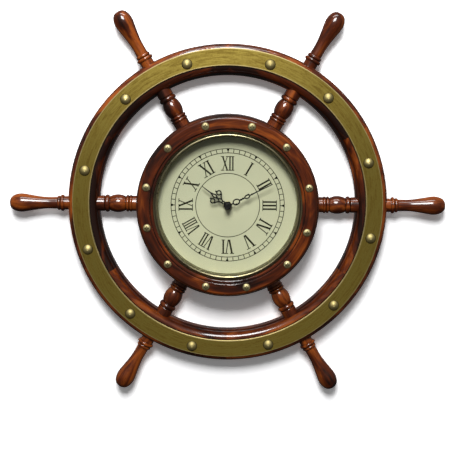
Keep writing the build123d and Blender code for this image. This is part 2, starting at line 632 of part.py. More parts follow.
# Spokes
foot_start = HUB_RADIUS - SPOKE_FOOT_SEAT_DEPTH
bead_length = SPOKE_SPAN * SPOKE_BEAD_SHARE
barrel_length = SPOKE_SPAN * SPOKE_BARREL_SHARE
collar_length = SPOKE_SPAN * SPOKE_COLLAR_SHARE
first_bead = HUB_RADIUS + SPOKE_SPAN * SPOKE_FOOT_SHARE
second_bead = first_bead + bead_length
barrel_start = second_bead + bead_length
collar_start = barrel_start + barrel_length
end_start = collar_start + collar_length
bead_radius = SPOKE_GROOVE_RADIUS + bead_length * SPOKE_BEAD_HEIGHT_SHARE
barrel_radius = SPOKE_GROOVE_RADIUS + barrel_length * SPOKE_BARREL_HEIGHT_SHARE
collar_radius = SPOKE_GROOVE_RADIUS + collar_length * SPOKE_COLLAR_HEIGHT_SHARE
for number, angle in enumerate(SPOKE_ANGLES, start=1):
    with BuildPart() as spoke:
        with BuildSketch(axial_plane(angle, SPOKE_DEPTH)):
            with BuildLine():
                Polyline(
                    (foot_start - SPOKE_HUB_TENON_LENGTH, 0),
                    (foot_start - SPOKE_HUB_TENON_LENGTH, TENON_RADIUS),
                    (foot_start, TENON_RADIUS),
                    (foot_start, SPOKE_FOOT_RADIUS),
                    (first_bead, SPOKE_FOOT_RADIUS),
                    (first_bead, SPOKE_GROOVE_RADIUS),
                )
                for bead_start in (first_bead, second_bead):
                    ThreePointArc(
                        (bead_start, SPOKE_GROOVE_RADIUS),
                        (bead_start + bead_length / 2, bead_radius),
                        (bead_start + bead_length, SPOKE_GROOVE_RADIUS),
                    )
                ThreePointArc(
                    (barrel_start, SPOKE_GROOVE_RADIUS),
                    (barrel_start + barrel_length / 2, barrel_radius),
                    (collar_start, SPOKE_GROOVE_RADIUS),
                )
                ThreePointArc(
                    (collar_start, SPOKE_GROOVE_RADIUS),
                    (collar_start + collar_length / 2, collar_radius),
                    (end_start, SPOKE_GROOVE_RADIUS),
                )
                end_low = (end_start, SPOKE_GROOVE_RADIUS)
                end_high = (end_start + SPOKE_END_ROUND, SPOKE_END_RADIUS)
                ThreePointArc(end_low, round_mid(end_low, end_high), end_high)
                Polyline(
                    end_high,
                    (SPOKE_END_SEAT_RADIUS, SPOKE_END_RADIUS),
                    (SPOKE_END_SEAT_RADIUS, TENON_RADIUS),
                    (SPOKE_END_SEAT_RADIUS + SPOKE_RIM_TENON_LENGTH, TENON_RADIUS),
                    (SPOKE_END_SEAT_RADIUS + SPOKE_RIM_TENON_LENGTH, 0),
                    (foot_start - SPOKE_HUB_TENON_LENGTH, 0),
                )
            make_face()
        revolve(axis=spoke_axis(angle))
    spoke.part.label = f"spoke_{number}"
    export_step(spoke.part, f"parts/spoke_{number}.step")

# Handles
collar_start = RIM_RADIUS + HANDLE_BASE_LENGTH
bead_start = collar_start + HANDLE_COLLAR_LENGTH
neck_start = bead_start + HANDLE_BEAD_LENGTH
tip = RIM_RADIUS + HANDLE_LENGTH
grip_points = [
    (neck_start + (tip - neck_start) * across, HANDLE_GRIP_RADIUS * up) for across, up in HANDLE_GRIP_SHARES
]
for number, angle in enumerate(SPOKE_ANGLES, start=1):
    with BuildPart() as handle:
        with BuildSketch(axial_plane(angle, SPOKE_DEPTH)):
            with BuildLine():
                Polyline(
                    (tip, 0),
                    (handle_seat - HANDLE_TENON_LENGTH, 0),
                    (handle_seat - HANDLE_TENON_LENGTH, TENON_RADIUS),
                    (handle_seat, TENON_RADIUS),
                    (handle_seat, HANDLE_BASE_RADIUS),
                    (collar_start, HANDLE_BASE_RADIUS),
                    (collar_start, HANDLE_COLLAR_EDGE_RADIUS),
                )
                ThreePointArc(
                    (collar_start, HANDLE_COLLAR_EDGE_RADIUS),
                    (collar_start + HANDLE_COLLAR_LENGTH / 2, HANDLE_COLLAR_RADIUS),
                    (bead_start, HANDLE_COLLAR_EDGE_RADIUS),
                )
                Line((bead_start, HANDLE_COLLAR_EDGE_RADIUS), (bead_start, HANDLE_NECK_RADIUS))
                ThreePointArc(
                    (bead_start, HANDLE_NECK_RADIUS),
                    (bead_start + HANDLE_BEAD_LENGTH / 2, HANDLE_BEAD_RADIUS),
                    (neck_start, HANDLE_NECK_RADIUS),
                )
                Spline((neck_start, HANDLE_NECK_RADIUS), *grip_points, (tip, 0), tangents=((1, 0), (0, -1)))
            make_face()
        revolve(axis=spoke_axis(angle))
    handle.part.label = f"handle_{number}"
    export_step(handle.part, f"parts/handle_{number}.step")

# Hub body
case_middle = (CASE_TOP + CASE_BOTTOM) / 2
case_height = CASE_TOP - CASE_BOTTOM
ring_screw_seats = [clock_place(RING_SCREW_CIRCLE_RADIUS, angle, RING_FRONT) for angle in RING_SCREW_ANGLES]
ring_screw_points = [(seat.origin.X, seat.origin.Z) for seat in ring_screw_seats]
hanger_screw_points = [
    (0, HANGER_HEIGHT - HANGER_SCREW_SPACING / 2),
    (0, HANGER_HEIGHT + HANGER_SCREW_SPACING / 2),
]
with BuildPart() as hub_body:
    with BuildSketch(SECTION):
        with BuildLine():
            Polyline(
                (0, 0),
                (HUB_RADIUS - HUB_BACK_ROUND, 0),
                (HUB_RADIUS, HUB_BACK_ROUND),
                (HUB_RADIUS, HUB_FRONT),
                (RECESS_RADIUS, HUB_FRONT),
                (RECESS_RADIUS, WEB_FRONT),
                (0, WEB_FRONT),
                close=True,
            )
        make_face()
    revolve(axis=Axis.Y)
    with BuildSketch(front(0)):
        with Locations((0, case_middle)):
            RectangleRounded(
                CASE_WIDTH + 2 * POCKET_CLEARANCE,
                case_height + 2 * POCKET_CLEARANCE,
                POCKET_ROUND,
            )
    extrude(amount=WEB_BACK, mode=Mode.SUBTRACT)
    extrude(
        disc(WEB_BACK, (0, 0), BUSH_RADIUS + BUSH_CLEARANCE),
        amount=WEB_FRONT - WEB_BACK,
        mode=Mode.SUBTRACT,
    )
    for angle in SPOKE_ANGLES:
        revolve(
            spoke_bore(angle, foot_start, HUB_RADIUS + OVERRUN, SPOKE_FOOT_RADIUS + FIT),
            axis=spoke_axis(angle),
            mode=Mode.SUBTRACT,
        )
        revolve(
            spoke_bore(angle, foot_start - SPOKE_HUB_TENON_LENGTH - FIT, foot_start, TENON_RADIUS + FIT),
            axis=spoke_axis(angle),
            mode=Mode.SUBTRACT,
        )
    with BuildSketch(front(0)):
        with Locations((0, HANGER_HEIGHT)):
            RectangleRounded(HANGER_WIDTH + 2 * FIT, HANGER_LENGTH + 2 * FIT, HANGER_ROUND)
    extrude(amount=HANGER_THICKNESS, mode=Mode.SUBTRACT)
    with BuildSketch(front(HANGER_THICKNESS)):
        with Locations((0, KEYHOLE_HEIGHT + KEYHOLE_SLOT_LENGTH / 2)):
            SlotCenterToCenter(KEYHOLE_SLOT_LENGTH, KEYHOLE_CAVITY_WIDTH, rotation=90)
    extrude(amount=KEYHOLE_CAVITY_DEPTH, mode=Mode.SUBTRACT)
    with BuildSketch(front(HANGER_THICKNESS)):
        with Locations(*hanger_screw_points):
            Circle(HANGER_SCREW_SHANK_RADIUS + FIT)
    extrude(amount=HANGER_SCREW_LENGTH - HANGER_THICKNESS + FIT, mode=Mode.SUBTRACT)
    with BuildSketch(front(RING_FRONT - RING_SCREW_SHANK_LENGTH - FIT)):
        with Locations(*ring_screw_points):
            Circle(RING_SCREW_SHANK_RADIUS + FIT)
    extrude(amount=RING_SCREW_SHANK_LENGTH + FIT, mode=Mode.SUBTRACT)
hub_body.part.label = "hub_body"
export_step(hub_body.part, "parts/hub_body.step")

# Front ring: stepped inner lips, flat face, ovolo outside
with BuildPart() as front_ring:
    with BuildSketch(SECTION):
        with BuildLine():
            lip_low = (RING_LIP_RADIUS, RING_LIP_FRONT - RING_LIP_ROUND)
            lip_high = (RING_LIP_RADIUS + RING_LIP_ROUND, RING_LIP_FRONT)
            face_low = (RING_FACE_INNER_RADIUS, RING_FRONT - RING_EDGE_ROUND)
            face_high = (RING_FACE_INNER_RADIUS + RING_EDGE_ROUND, RING_FRONT)
            ovolo_high = (RING_FACE_OUTER_RADIUS, RING_FRONT)
            ovolo_low = (HUB_RADIUS - RING_STEP_WIDTH, RING_STEP_DEPTH)
            rebate_radius = BEZEL_FLANGE_RADIUS + FIT
            rebate_front = HUB_FRONT + BEZEL_FLANGE_THICKNESS + FIT
            Polyline(
                (HUB_RADIUS, HUB_FRONT),
                (rebate_radius, HUB_FRONT),
                (rebate_radius, rebate_front),
                (RING_LIP_RADIUS, rebate_front),
                lip_low,
            )
            ThreePointArc(lip_low, round_mid(lip_low, lip_high), lip_high)
            Polyline(
                lip_high,
                (RING_FACE_INNER_RADIUS - RING_GROOVE_WIDTH, RING_LIP_FRONT),
                (RING_FACE_INNER_RADIUS - RING_GROOVE_WIDTH, RING_LIP_FRONT - RING_GROOVE_DEPTH),
                (RING_FACE_INNER_RADIUS, RING_LIP_FRONT - RING_GROOVE_DEPTH),
                face_low,
            )
            ThreePointArc(face_low, round_mid(face_low, face_high), face_high)
            Line(face_high, ovolo_high)
            ThreePointArc(ovolo_high, round_mid(ovolo_low, ovolo_high), ovolo_low)
            Polyline(ovolo_low, (HUB_RADIUS, RING_STEP_DEPTH), (HUB_RADIUS, HUB_FRONT))
        make_face()
    revolve(axis=Axis.Y)
    with BuildSketch(front(HUB_FRONT)):
        with Locations(*ring_screw_points):
            Circle(RING_SCREW_SHANK_RADIUS + FIT)
    extrude(amount=RING_FRONT - HUB_FRONT, mode=Mode.SUBTRACT)
front_ring.part.label = "front_ring"
export_step(front_ring.part, "parts/front_ring.step")

# Screws of the front ring
with BuildPart() as ring_screw:
    with BuildSketch(Plane.XZ):
        with BuildLine():
            ThreePointArc(
                (RING_SCREW_HEAD_RADIUS, 0),
                dome_mid(RING_SCREW_HEAD_RADIUS, RING_SCREW_HEAD_HEIGHT),
                (0, RING_SCREW_HEAD_HEIGHT),
            )
            Polyline(
                (0, RING_SCREW_HEAD_HEIGHT),
                (0, -RING_SCREW_SHANK_LENGTH),
                (RING_SCREW_SHANK_RADIUS, -RING_SCREW_SHANK_LENGTH),
                (RING_SCREW_SHANK_RADIUS, 0),
                (RING_SCREW_HEAD_RADIUS, 0),
            )
        make_face()
    revolve(axis=Axis.Z)
    with BuildSketch(Plane.XY.offset(RING_SCREW_HEAD_HEIGHT - RING_SCREW_CROSS_DEPTH)):
        Rectangle(RING_SCREW_CROSS_LENGTH, RING_SCREW_CROSS_WIDTH)
        Rectangle(RING_SCREW_CROSS_WIDTH, RING_SCREW_CROSS_LENGTH)
    extrude(amount=RING_SCREW_CROSS_DEPTH + OVERRUN, mode=Mode.SUBTRACT)
with BuildPart() as ring_screws:
    with Locations(*ring_screw_seats):
        add(ring_screw.part)
ring_screws.part.label = "ring_screws"
export_step(ring_screws.part, "parts/ring_screws.step")

# Dial
with BuildPart() as dial:
    with BuildSketch(front(WEB_FRONT)):
        Circle(BEZEL_TUBE_RADIUS)
        Circle(BUSH_RADIUS + BUSH_CLEARANCE, mode=Mode.SUBTRACT)
    extrude(amount=DIAL_THICKNESS)
dial.part.label = "dial"
export_step(dial.part, "parts/dial.step")

# Bezel: tube, flange under the front ring, rolled bead in front
tube_inner_radius = BEZEL_TUBE_RADIUS - BEZEL_TUBE_WALL
with BuildPart() as bezel:
    with BuildSketch(SECTION):
        with BuildLine():
            bead_outer = (BEZEL_TUBE_RADIUS, GLASS_FRONT)
            bead_top = (BEZEL_TUBE_RADIUS - BEZEL_BEAD_WIDTH / 2, GLASS_FRONT + BEZEL_BEAD_HEIGHT)
            bead_inner = (BEZEL_TUBE_RADIUS - BEZEL_BEAD_WIDTH, GLASS_FRONT)
            ThreePointArc(bead_outer, bead_top, bead_inner)
            Polyline(
                bead_inner,
                (tube_inner_radius, GLASS_FRONT),
                (tube_inner_radius, DIAL_FRONT),
                (BEZEL_TUBE_RADIUS, DIAL_FRONT),
                (BEZEL_TUBE_RADIUS, HUB_FRONT),
                (BEZEL_FLANGE_RADIUS, HUB_FRONT),
                (BEZEL_FLANGE_RADIUS, HUB_FRONT + BEZEL_FLANGE_THICKNESS),
                (BEZEL_TUBE_RADIUS, HUB_FRONT + BEZEL_FLANGE_THICKNESS),
                bead_outer,
            )
        make_face()
    revolve(axis=Axis.Y)
bezel.part.label = "bezel"
export_step(bezel.part, "parts/bezel.step")

# Liner between dial and glass
with BuildPart() as dial_liner:
    with BuildSketch(front(DIAL_FRONT)):
        Circle(LINER_RADIUS)
        Circle(LINER_INNER_RADIUS, mode=Mode.SUBTRACT)
    extrude(amount=GLASS_BACK - DIAL_FRONT)
dial_liner.part.label = "dial_liner"
export_step(dial_liner.part, "parts/dial_liner.step")

# Glass
with BuildPart() as glass:
    with BuildSketch(front(GLASS_BACK)):
        Circle(LINER_RADIUS)
    extrude(amount=GLASS_THICKNESS)
glass.part.label = "glass"
export_step(glass.part, "parts/glass.step")

# Keyhole hanger and its countersunk screws
with BuildPart() as hanger_plate:
    with BuildSketch(front(0)):
        with Locations((0, HANGER_HEIGHT)):
            RectangleRounded(HANGER_WIDTH, HANGER_LENGTH, HANGER_ROUND)
        with Locations((0, KEYHOLE_HEIGHT)):
            Circle(KEYHOLE_RADIUS, mode=Mode.SUBTRACT)
        with Locations((0, KEYHOLE_HEIGHT + KEYHOLE_SLOT_LENGTH / 2)):
            SlotCenterToCenter(KEYHOLE_SLOT_LENGTH, KEYHOLE_SLOT_WIDTH, rotation=90, mode=Mode.SUBTRACT)
    extrude(amount=HANGER_THICKNESS)
    for point in hanger_screw_points:
        with BuildSketch(Plane(origin=(0, 0, point[1]), x_dir=(1, 0, 0), z_dir=(0, 0, -1))):
            with BuildLine():
                Polyline(
                    (0, 0),
                    (HANGER_SCREW_HEAD_RADIUS + FIT, 0),
                    (HANGER_SCREW_SHANK_RADIUS + FIT, HANGER_THICKNESS),
                    (0, HANGER_THICKNESS),
                    close=True,
                )
            make_face()
        revolve(axis=shaft_axis(point), mode=Mode.SUBTRACT)
hanger_plate.part.label = "hanger_plate"
export_step(hanger_plate.part, "parts/hanger_plate.step")

with BuildPart() as hanger_screws:
    for point in hanger_screw_points:
        with BuildSketch(Plane(origin=(0, 0, point[1]), x_dir=(1, 0, 0), z_dir=(0, 0, -1))):
            with BuildLine():
                Polyline(
                    (0, 0),
                    (HANGER_SCREW_HEAD_RADIUS, 0),
                    (HANGER_SCREW_SHANK_RADIUS, HANGER_THICKNESS),
                    (HANGER_SCREW_SHANK_RADIUS, HANGER_SCREW_LENGTH),
                    (0, HANGER_SCREW_LENGTH),
                    close=True,
                )
            make_face()
        revolve(axis=shaft_axis(point))
    with BuildSketch(front(0)):
        with Locations(*hanger_screw_points):
            Rectangle(2 * HANGER_SCREW_HEAD_RADIUS + FIT, HANGER_SCREW_SLOT_WIDTH)
    extrude(amount=HANGER_SCREW_SLOT_DEPTH, mode=Mode.SUBTRACT)
hanger_screws.part.label = "hanger_screws"
export_step(hanger_screws.part, "parts/hanger_screws.step")

# Places of the movement's shafts
motion_distance = centre_distance(CANNON_TEETH, MOTION_WHEEL_TEETH, CANNON_MODULE)
hour_module = 2 * motion_distance / (MOTION_PINION_TEETH + HOUR_WHEEL_TEETH)
third_distance = centre_distance(PINION_TEETH, CENTRE_TEETH, CENTRE_MODULE)
third_module = 2 * third_distance / (THIRD_TEETH + PINION_TEETH)
intermediate_distance = centre_distance(PINION_TEETH, SECONDS_TEETH, INTERMEDIATE_MODULE)
rotor_distance = centre_distance(PINION_TEETH, INTERMEDIATE_TEETH, ROTOR_MODULE)
centre_place = (0, 0)
motion_place = polar(motion_distance, MOTION_ANGLE)
knob_place = polar(motion_distance + motion_distance, MOTION_ANGLE)
intermediate_place = polar(intermediate_distance, INTERMEDIATE_ANGLE)
rotor_place = polar(intermediate_distance + rotor_distance, INTERMEDIATE_ANGLE)
third_place = polar(third_distance, THIRD_ANGLE)
train_places = (centre_place, intermediate_place, rotor_place, third_place)

# Movement case: gear chamber and battery bay open at the back, threaded bush in front
chamber_height = CHAMBER_TOP - CHAMBER_BOTTOM
chamber_middle = (CHAMBER_TOP + CHAMBER_BOTTOM) / 2
ledge_places = [
    (side * (CHAMBER_WIDTH - LEDGE_SIZE) / 2, height)
    for side in (1, -1)
    for height in (CHAMBER_TOP - LEDGE_SIZE / 2, CHAMBER_BOTTOM + LEDGE_SIZE / 2)
]
with BuildPart() as movement_case:
    with BuildSketch(front(CASE_BACK)):
        with Locations((0, case_middle)):
            RectangleRounded(CASE_WIDTH, case_height, CASE_ROUND)
    extrude(amount=CASE_FRONT - CASE_BACK)
    with BuildSketch(front(CASE_BACK)):
        with Locations((0, chamber_middle)):
            Rectangle(CHAMBER_WIDTH, chamber_height)
        with Locations((0, (BAY_TOP + BAY_BOTTOM) / 2)):
            Rectangle(CHAMBER_WIDTH, BAY_TOP - BAY_BOTTOM)
    extrude(amount=CHAMBER_FRONT - CASE_BACK, mode=Mode.SUBTRACT)
    with BuildSketch(front(COVER_FRONT)):
        with Locations(*ledge_places):
            Rectangle(LEDGE_SIZE, LEDGE_SIZE)
    extrude(amount=CHAMBER_FRONT - COVER_FRONT)
    with BuildSketch(front(PLATE_BACK)):
        with Locations(*PILLAR_PLACES):
            Circle(PILLAR_PEG_RADIUS)
    extrude(amount=CHAMBER_FRONT - PLATE_BACK)
    with BuildSketch(front(PLATE_FRONT)):
        with Locations(*PILLAR_PLACES):
            Circle(PILLAR_RADIUS)
    extrude(amount=CHAMBER_FRONT - PLATE_FRONT)
    with BuildSketch(front(BOARD_BACK + BOARD_THICKNESS)):
        with Locations(*BOARD_POST_PLACES):
            Circle(PILLAR_RADIUS)
    extrude(amount=CHAMBER_FRONT - BOARD_BACK - BOARD_THICKNESS)
    motion_post = disc(MOTION_POST_BACK, motion_place, MOTION_POST_RADIUS)
    extrude(motion_post, amount=CHAMBER_FRONT - MOTION_POST_BACK)
    extrude(disc(CHAMBER_FRONT, centre_place, BUSH_RADIUS), amount=BUSH_FRONT - CHAMBER_FRONT)
    extrude(
        disc(CHAMBER_FRONT, centre_place, HOUR_PIPE_RADIUS + RUNNING_FIT),
        amount=BUSH_FRONT - CHAMBER_FRONT,
        mode=Mode.SUBTRACT,
    )
movement_case.part.label = "movement_case"
export_step(movement_case.part, "parts/movement_case.step")

# Back cover of the gear chamber with the rear bearings
with BuildPart() as movement_cover:
    with BuildSketch(front(CASE_BACK)):
        with Locations((0, chamber_middle)):
            Rectangle(CHAMBER_WIDTH - 2 * FIT, chamber_height - 2 * FIT)
    extrude(amount=COVER_THICKNESS)
    with BuildSketch(front(COVER_FRONT)):
        with Locations(*train_places):
            Circle(BEARING_RADIUS)
    extrude(amount=BEARING_HEIGHT)
    with BuildSketch(front(PIVOT_END - FIT)):
        with Locations(*train_places):
            Circle(ARBOR_RADIUS + RUNNING_FIT)
    extrude(amount=COVER_FRONT + BEARING_HEIGHT - PIVOT_END + FIT, mode=Mode.SUBTRACT)
    extrude(
        disc(CASE_BACK, knob_place, KNOB_SHAFT_RADIUS + RUNNING_FIT),
        amount=COVER_THICKNESS,
        mode=Mode.SUBTRACT,
    )
movement_cover.part.label = "movement_cover"
export_step(movement_cover.part, "parts/movement_cover.step")

# Middle plate with the front bearings and the bosses that carry the stator
with BuildPart() as middle_plate:
    with BuildSketch(front(PLATE_BACK)):
        with Locations(((PLATE_LEFT + PLATE_RIGHT) / 2, (PLATE_BOTTOM + PLATE_TOP) / 2)):
            RectangleRounded(PLATE_RIGHT - PLATE_LEFT, PLATE_TOP - PLATE_BOTTOM, PLATE_ROUND)
        with Locations(*train_places):
            Circle(ARBOR_RADIUS + RUNNING_FIT, mode=Mode.SUBTRACT)
        with Locations(*PILLAR_PLACES):
            Circle(PILLAR_PEG_RADIUS + FIT, mode=Mode.SUBTRACT)
        with Locations(knob_place):
            Circle(KNOB_SHAFT_RADIUS + RUNNING_FIT, mode=Mode.SUBTRACT)
    extrude(amount=PLATE_THICKNESS)
    with BuildSketch(front(STATOR_BACK + STATOR_THICKNESS)):
        with Locations(*STATOR_BOSS_PLACES):
            Circle(STATOR_BOSS_RADIUS)
    extrude(amount=PLATE_BACK - STATOR_BACK - STATOR_THICKNESS)
middle_plate.part.label = "middle_plate"
export_step(middle_plate.part, "parts/middle_plate.step")

# Gasket behind the web, washer and nut in front of the dial
with BuildPart() as gasket:
    with BuildSketch(front(CASE_FRONT)):
        Circle(GASKET_RADIUS)
        Circle(BUSH_RADIUS + BUSH_CLEARANCE, mode=Mode.SUBTRACT)
    extrude(amount=GASKET_THICKNESS)
gasket.part.label = "gasket"
export_step(gasket.part, "parts/gasket.step")

with BuildPart() as washer:
    with BuildSketch(front(DIAL_FRONT)):
        Circle(WASHER_RADIUS)
        Circle(BUSH_RADIUS + FIT, mode=Mode.SUBTRACT)
    extrude(amount=WASHER_THICKNESS)
washer.part.label = "washer"
export_step(washer.part, "parts/washer.step")

with BuildPart() as nut:
    with BuildSketch(front(NUT_BACK)):
        RegularPolygon(NUT_FLATS / 2, 6, major_radius=False)
        Circle(BUSH_RADIUS + FIT, mode=Mode.SUBTRACT)
    extrude(amount=NUT_THICKNESS)
nut.part.label = "nut"
export_step(nut.part, "parts/nut.step")

# Minute arbor with its cannon pinion
with BuildPart() as minute_arbor:
    extrude(
        disc(PLATE_FRONT + END_PLAY, centre_place, MINUTE_ARBOR_RADIUS),
        amount=MINUTE_COLLET_FRONT - PLATE_FRONT - END_PLAY,
    )
    extrude(disc(MINUTE_COLLET_FRONT, centre_place, MINUTE_THREAD_RADIUS), amount=CAP_THREAD_DEPTH - FIT)
    extrude(disc(MINUTE_COLLAR_BACK, centre_place, MINUTE_COLLAR_RADIUS), amount=MINUTE_COLLAR_THICKNESS)
    extrude(gear_outline(CANNON_BACK, centre_place, CANNON_TEETH, CANNON_MODULE, 0), amount=CANNON_WIDTH)
minute_arbor.part.label = "minute_arbor"
export_step(minute_arbor.part, "parts/minute_arbor.step")

# Motion wheel and pinion on the case's post
motion_phase = mesh_phase(0, CANNON_TEETH, MOTION_WHEEL_TEETH, MOTION_ANGLE)
with BuildPart() as motion_wheel:
    extrude(
        gear_outline(CANNON_BACK, motion_place, MOTION_WHEEL_TEETH, CANNON_MODULE, motion_phase),
        amount=CANNON_WIDTH,
    )
    extrude(
        gear_outline(CANNON_BACK + CANNON_WIDTH, motion_place, MOTION_PINION_TEETH, hour_module, 0),
        amount=HOUR_WHEEL_BACK + HOUR_WHEEL_WIDTH - CANNON_BACK - CANNON_WIDTH,
    )
    extrude(
        disc(CANNON_BACK, motion_place, MOTION_POST_RADIUS + RUNNING_FIT),
        amount=HOUR_WHEEL_BACK + HOUR_WHEEL_WIDTH - CANNON_BACK,
        mode=Mode.SUBTRACT,
    )
motion_wheel.part.label = "motion_wheel"
export_step(motion_wheel.part, "parts/motion_wheel.step")

# Hour wheel and its pipe
hour_phase = mesh_phase(0, MOTION_PINION_TEETH, HOUR_WHEEL_TEETH, MOTION_ANGLE + 180)
with BuildPart() as hour_wheel:
    extrude(
        gear_outline(HOUR_WHEEL_BACK, centre_place, HOUR_WHEEL_TEETH, hour_module, hour_phase),
        amount=HOUR_WHEEL_WIDTH,
    )
    extrude(disc(HOUR_WHEEL_BACK, centre_place, HOUR_PIPE_RADIUS), amount=HOUR_PIPE_FRONT - HOUR_WHEEL_BACK)
    extrude(
        disc(HOUR_WHEEL_BACK, centre_place, MINUTE_ARBOR_RADIUS + RUNNING_FIT),
        amount=HOUR_PIPE_FRONT - HOUR_WHEEL_BACK,
        mode=Mode.SUBTRACT,
    )
hour_wheel.part.label = "hour_wheel"
export_step(hour_wheel.part, "parts/hour_wheel.step")

# Setting knob behind the cover, with its pinion on the motion wheel
knob_phase = mesh_phase(motion_phase, MOTION_WHEEL_TEETH, CANNON_TEETH, MOTION_ANGLE)
with BuildPart() as setting_knob:
    with BuildSketch(front(KNOB_BACK)):
        with Locations(knob_place):
            Circle(KNOB_RADIUS)
            with PolarLocations(KNOB_RADIUS, KNOB_FLUTES):
                Circle(KNOB_FLUTE_RADIUS, mode=Mode.SUBTRACT)
    extrude(amount=KNOB_FRONT - KNOB_BACK)
    extrude(disc(KNOB_FRONT, knob_place, KNOB_SHAFT_RADIUS), amount=CANNON_BACK - KNOB_FRONT)
    extrude(
        gear_outline(CANNON_BACK, knob_place, CANNON_TEETH, CANNON_MODULE, knob_phase),
        amount=CANNON_WIDTH,
    )
setting_knob.part.label = "setting_knob"
export_step(setting_knob.part, "parts/setting_knob.step")

# Rotor: magnet and pinion on one arbor
with BuildPart() as rotor:
    extrude(disc(PIVOT_END, rotor_place, ARBOR_RADIUS), amount=PLATE_FRONT - FIT - PIVOT_END)
    extrude(disc(MAGNET_BACK, rotor_place, MAGNET_RADIUS), amount=MAGNET_LENGTH)
    extrude(
        gear_outline(INTERMEDIATE_BACK, rotor_place, PINION_TEETH, ROTOR_MODULE, 0),
        amount=MAGNET_BACK - INTERMEDIATE_BACK,
    )
rotor.part.label = "rotor"
export_step(rotor.part, "parts/rotor.step")

# Intermediate wheel
intermediate_phase = mesh_phase(0, PINION_TEETH, INTERMEDIATE_TEETH, INTERMEDIATE_ANGLE + 180)
with BuildPart() as intermediate_wheel:
    extrude(disc(PIVOT_END, intermediate_place, ARBOR_RADIUS), amount=PLATE_FRONT - FIT - PIVOT_END)
    extrude(
        gear_outline(
            INTERMEDIATE_BACK, intermediate_place, INTERMEDIATE_TEETH, ROTOR_MODULE, intermediate_phase
        ),
        amount=WHEEL_WIDTH,
    )
    extrude(
        gear_outline(
            INTERMEDIATE_BACK + WHEEL_WIDTH, intermediate_place, PINION_TEETH, INTERMEDIATE_MODULE, 0
        ),
        amount=SECONDS_BACK - INTERMEDIATE_BACK,
    )
intermediate_wheel.part.label = "intermediate_wheel"
export_step(intermediate_wheel.part, "parts/intermediate_wheel.step")

# Seconds wheel
seconds_phase = mesh_phase(0, PINION_TEETH, SECONDS_TEETH, INTERMEDIATE_ANGLE + 180)
with BuildPart() as seconds_wheel:
    extrude(disc(PIVOT_END, centre_place, ARBOR_RADIUS), amount=PLATE_FRONT - FIT - PIVOT_END)
    extrude(
        gear_outline(SECONDS_BACK, centre_place, SECONDS_TEETH, INTERMEDIATE_MODULE, seconds_phase),
        amount=WHEEL_WIDTH,
    )
    extrude(
        gear_outline(SECONDS_BACK + WHEEL_WIDTH, centre_place, PINION_TEETH, third_module, 0),
        amount=THIRD_BACK + THIRD_WIDTH - SECONDS_BACK - WHEEL_WIDTH,
    )
seconds_wheel.part.label = "seconds_wheel"
export_step(seconds_wheel.part, "parts/seconds_wheel.step")

# Third wheel
third_phase = mesh_phase(0, PINION_TEETH, THIRD_TEETH, THIRD_ANGLE)
with BuildPart() as third_wheel:
    extrude(disc(PIVOT_END, third_place, ARBOR_RADIUS), amount=CENTRE_BACK - PIVOT_END)
    extrude(
        gear_outline(THIRD_BACK, third_place, THIRD_TEETH, third_module, third_phase),
        amount=THIRD_WIDTH,
    )
    extrude(gear_outline(CENTRE_BACK, third_place, PINION_TEETH, CENTRE_MODULE, 0), amount=CENTRE_WIDTH)
third_wheel.part.label = "third_wheel"
export_step(third_wheel.part, "parts/third_wheel.step")

# Centre wheel, driving the minute arbor through friction
centre_phase = mesh_phase(0, PINION_TEETH, CENTRE_TEETH, THIRD_ANGLE + 180)
with BuildPart() as centre_wheel:
    extrude(
        gear_outline(CENTRE_BACK, centre_place, CENTRE_TEETH, CENTRE_MODULE, centre_phase),
        amount=CENTRE_WIDTH,
    )
    extrude(
        disc(CENTRE_BACK, centre_place, MINUTE_ARBOR_RADIUS + RUNNING_FIT),
        amount=CENTRE_WIDTH,
        mode=Mode.SUBTRACT,
    )
centre_wheel.part.label = "centre_wheel"
export_step(centre_wheel.part, "parts/centre_wheel.step")

# Stator: pole plate round the rotor, a leg and two feet that meet the core
with BuildPart() as stator:
    with BuildSketch(front(STATOR_BACK)):
        with Locations(((STATOR_LEFT + STATOR_RIGHT) / 2, (STATOR_BOTTOM + STATOR_TOP) / 2)):
            Rectangle(STATOR_RIGHT - STATOR_LEFT, STATOR_TOP - STATOR_BOTTOM)
        with Locations(((STATOR_LEG_LEFT + STATOR_LEG_RIGHT) / 2, (CORE_BOTTOM + STATOR_BOTTOM) / 2)):
            Rectangle(STATOR_LEG_RIGHT - STATOR_LEG_LEFT, STATOR_BOTTOM - CORE_BOTTOM)
        with Locations(((STATOR_FOOT_LEFT + STATOR_LEFT) / 2, STATOR_TOP - STATOR_FOOT_WIDTH / 2)):
            Rectangle(STATOR_LEFT - STATOR_FOOT_LEFT, STATOR_FOOT_WIDTH)
        with Locations(((STATOR_FOOT_LEFT + STATOR_LEG_LEFT) / 2, CORE_BOTTOM + STATOR_FOOT_WIDTH / 2)):
            Rectangle(STATOR_LEG_LEFT - STATOR_FOOT_LEFT, STATOR_FOOT_WIDTH)
        with Locations(rotor_place):
            Circle(STATOR_BORE_RADIUS, mode=Mode.SUBTRACT)
    extrude(amount=STATOR_THICKNESS)
stator.part.label = "stator"
export_step(stator.part, "parts/stator.step")

# Coil core, bobbin and winding
core_depth = STATOR_BACK - CORE_THICKNESS / 2
with BuildPart() as coil_core:
    with BuildSketch(Plane.XY.offset(CORE_BOTTOM)):
        with Locations((CORE_X, -core_depth)):
            Rectangle(CORE_WIDTH, CORE_THICKNESS)
    extrude(amount=STATOR_TOP - CORE_BOTTOM)
coil_core.part.label = "coil_core"
export_step(coil_core.part, "parts/coil_core.step")

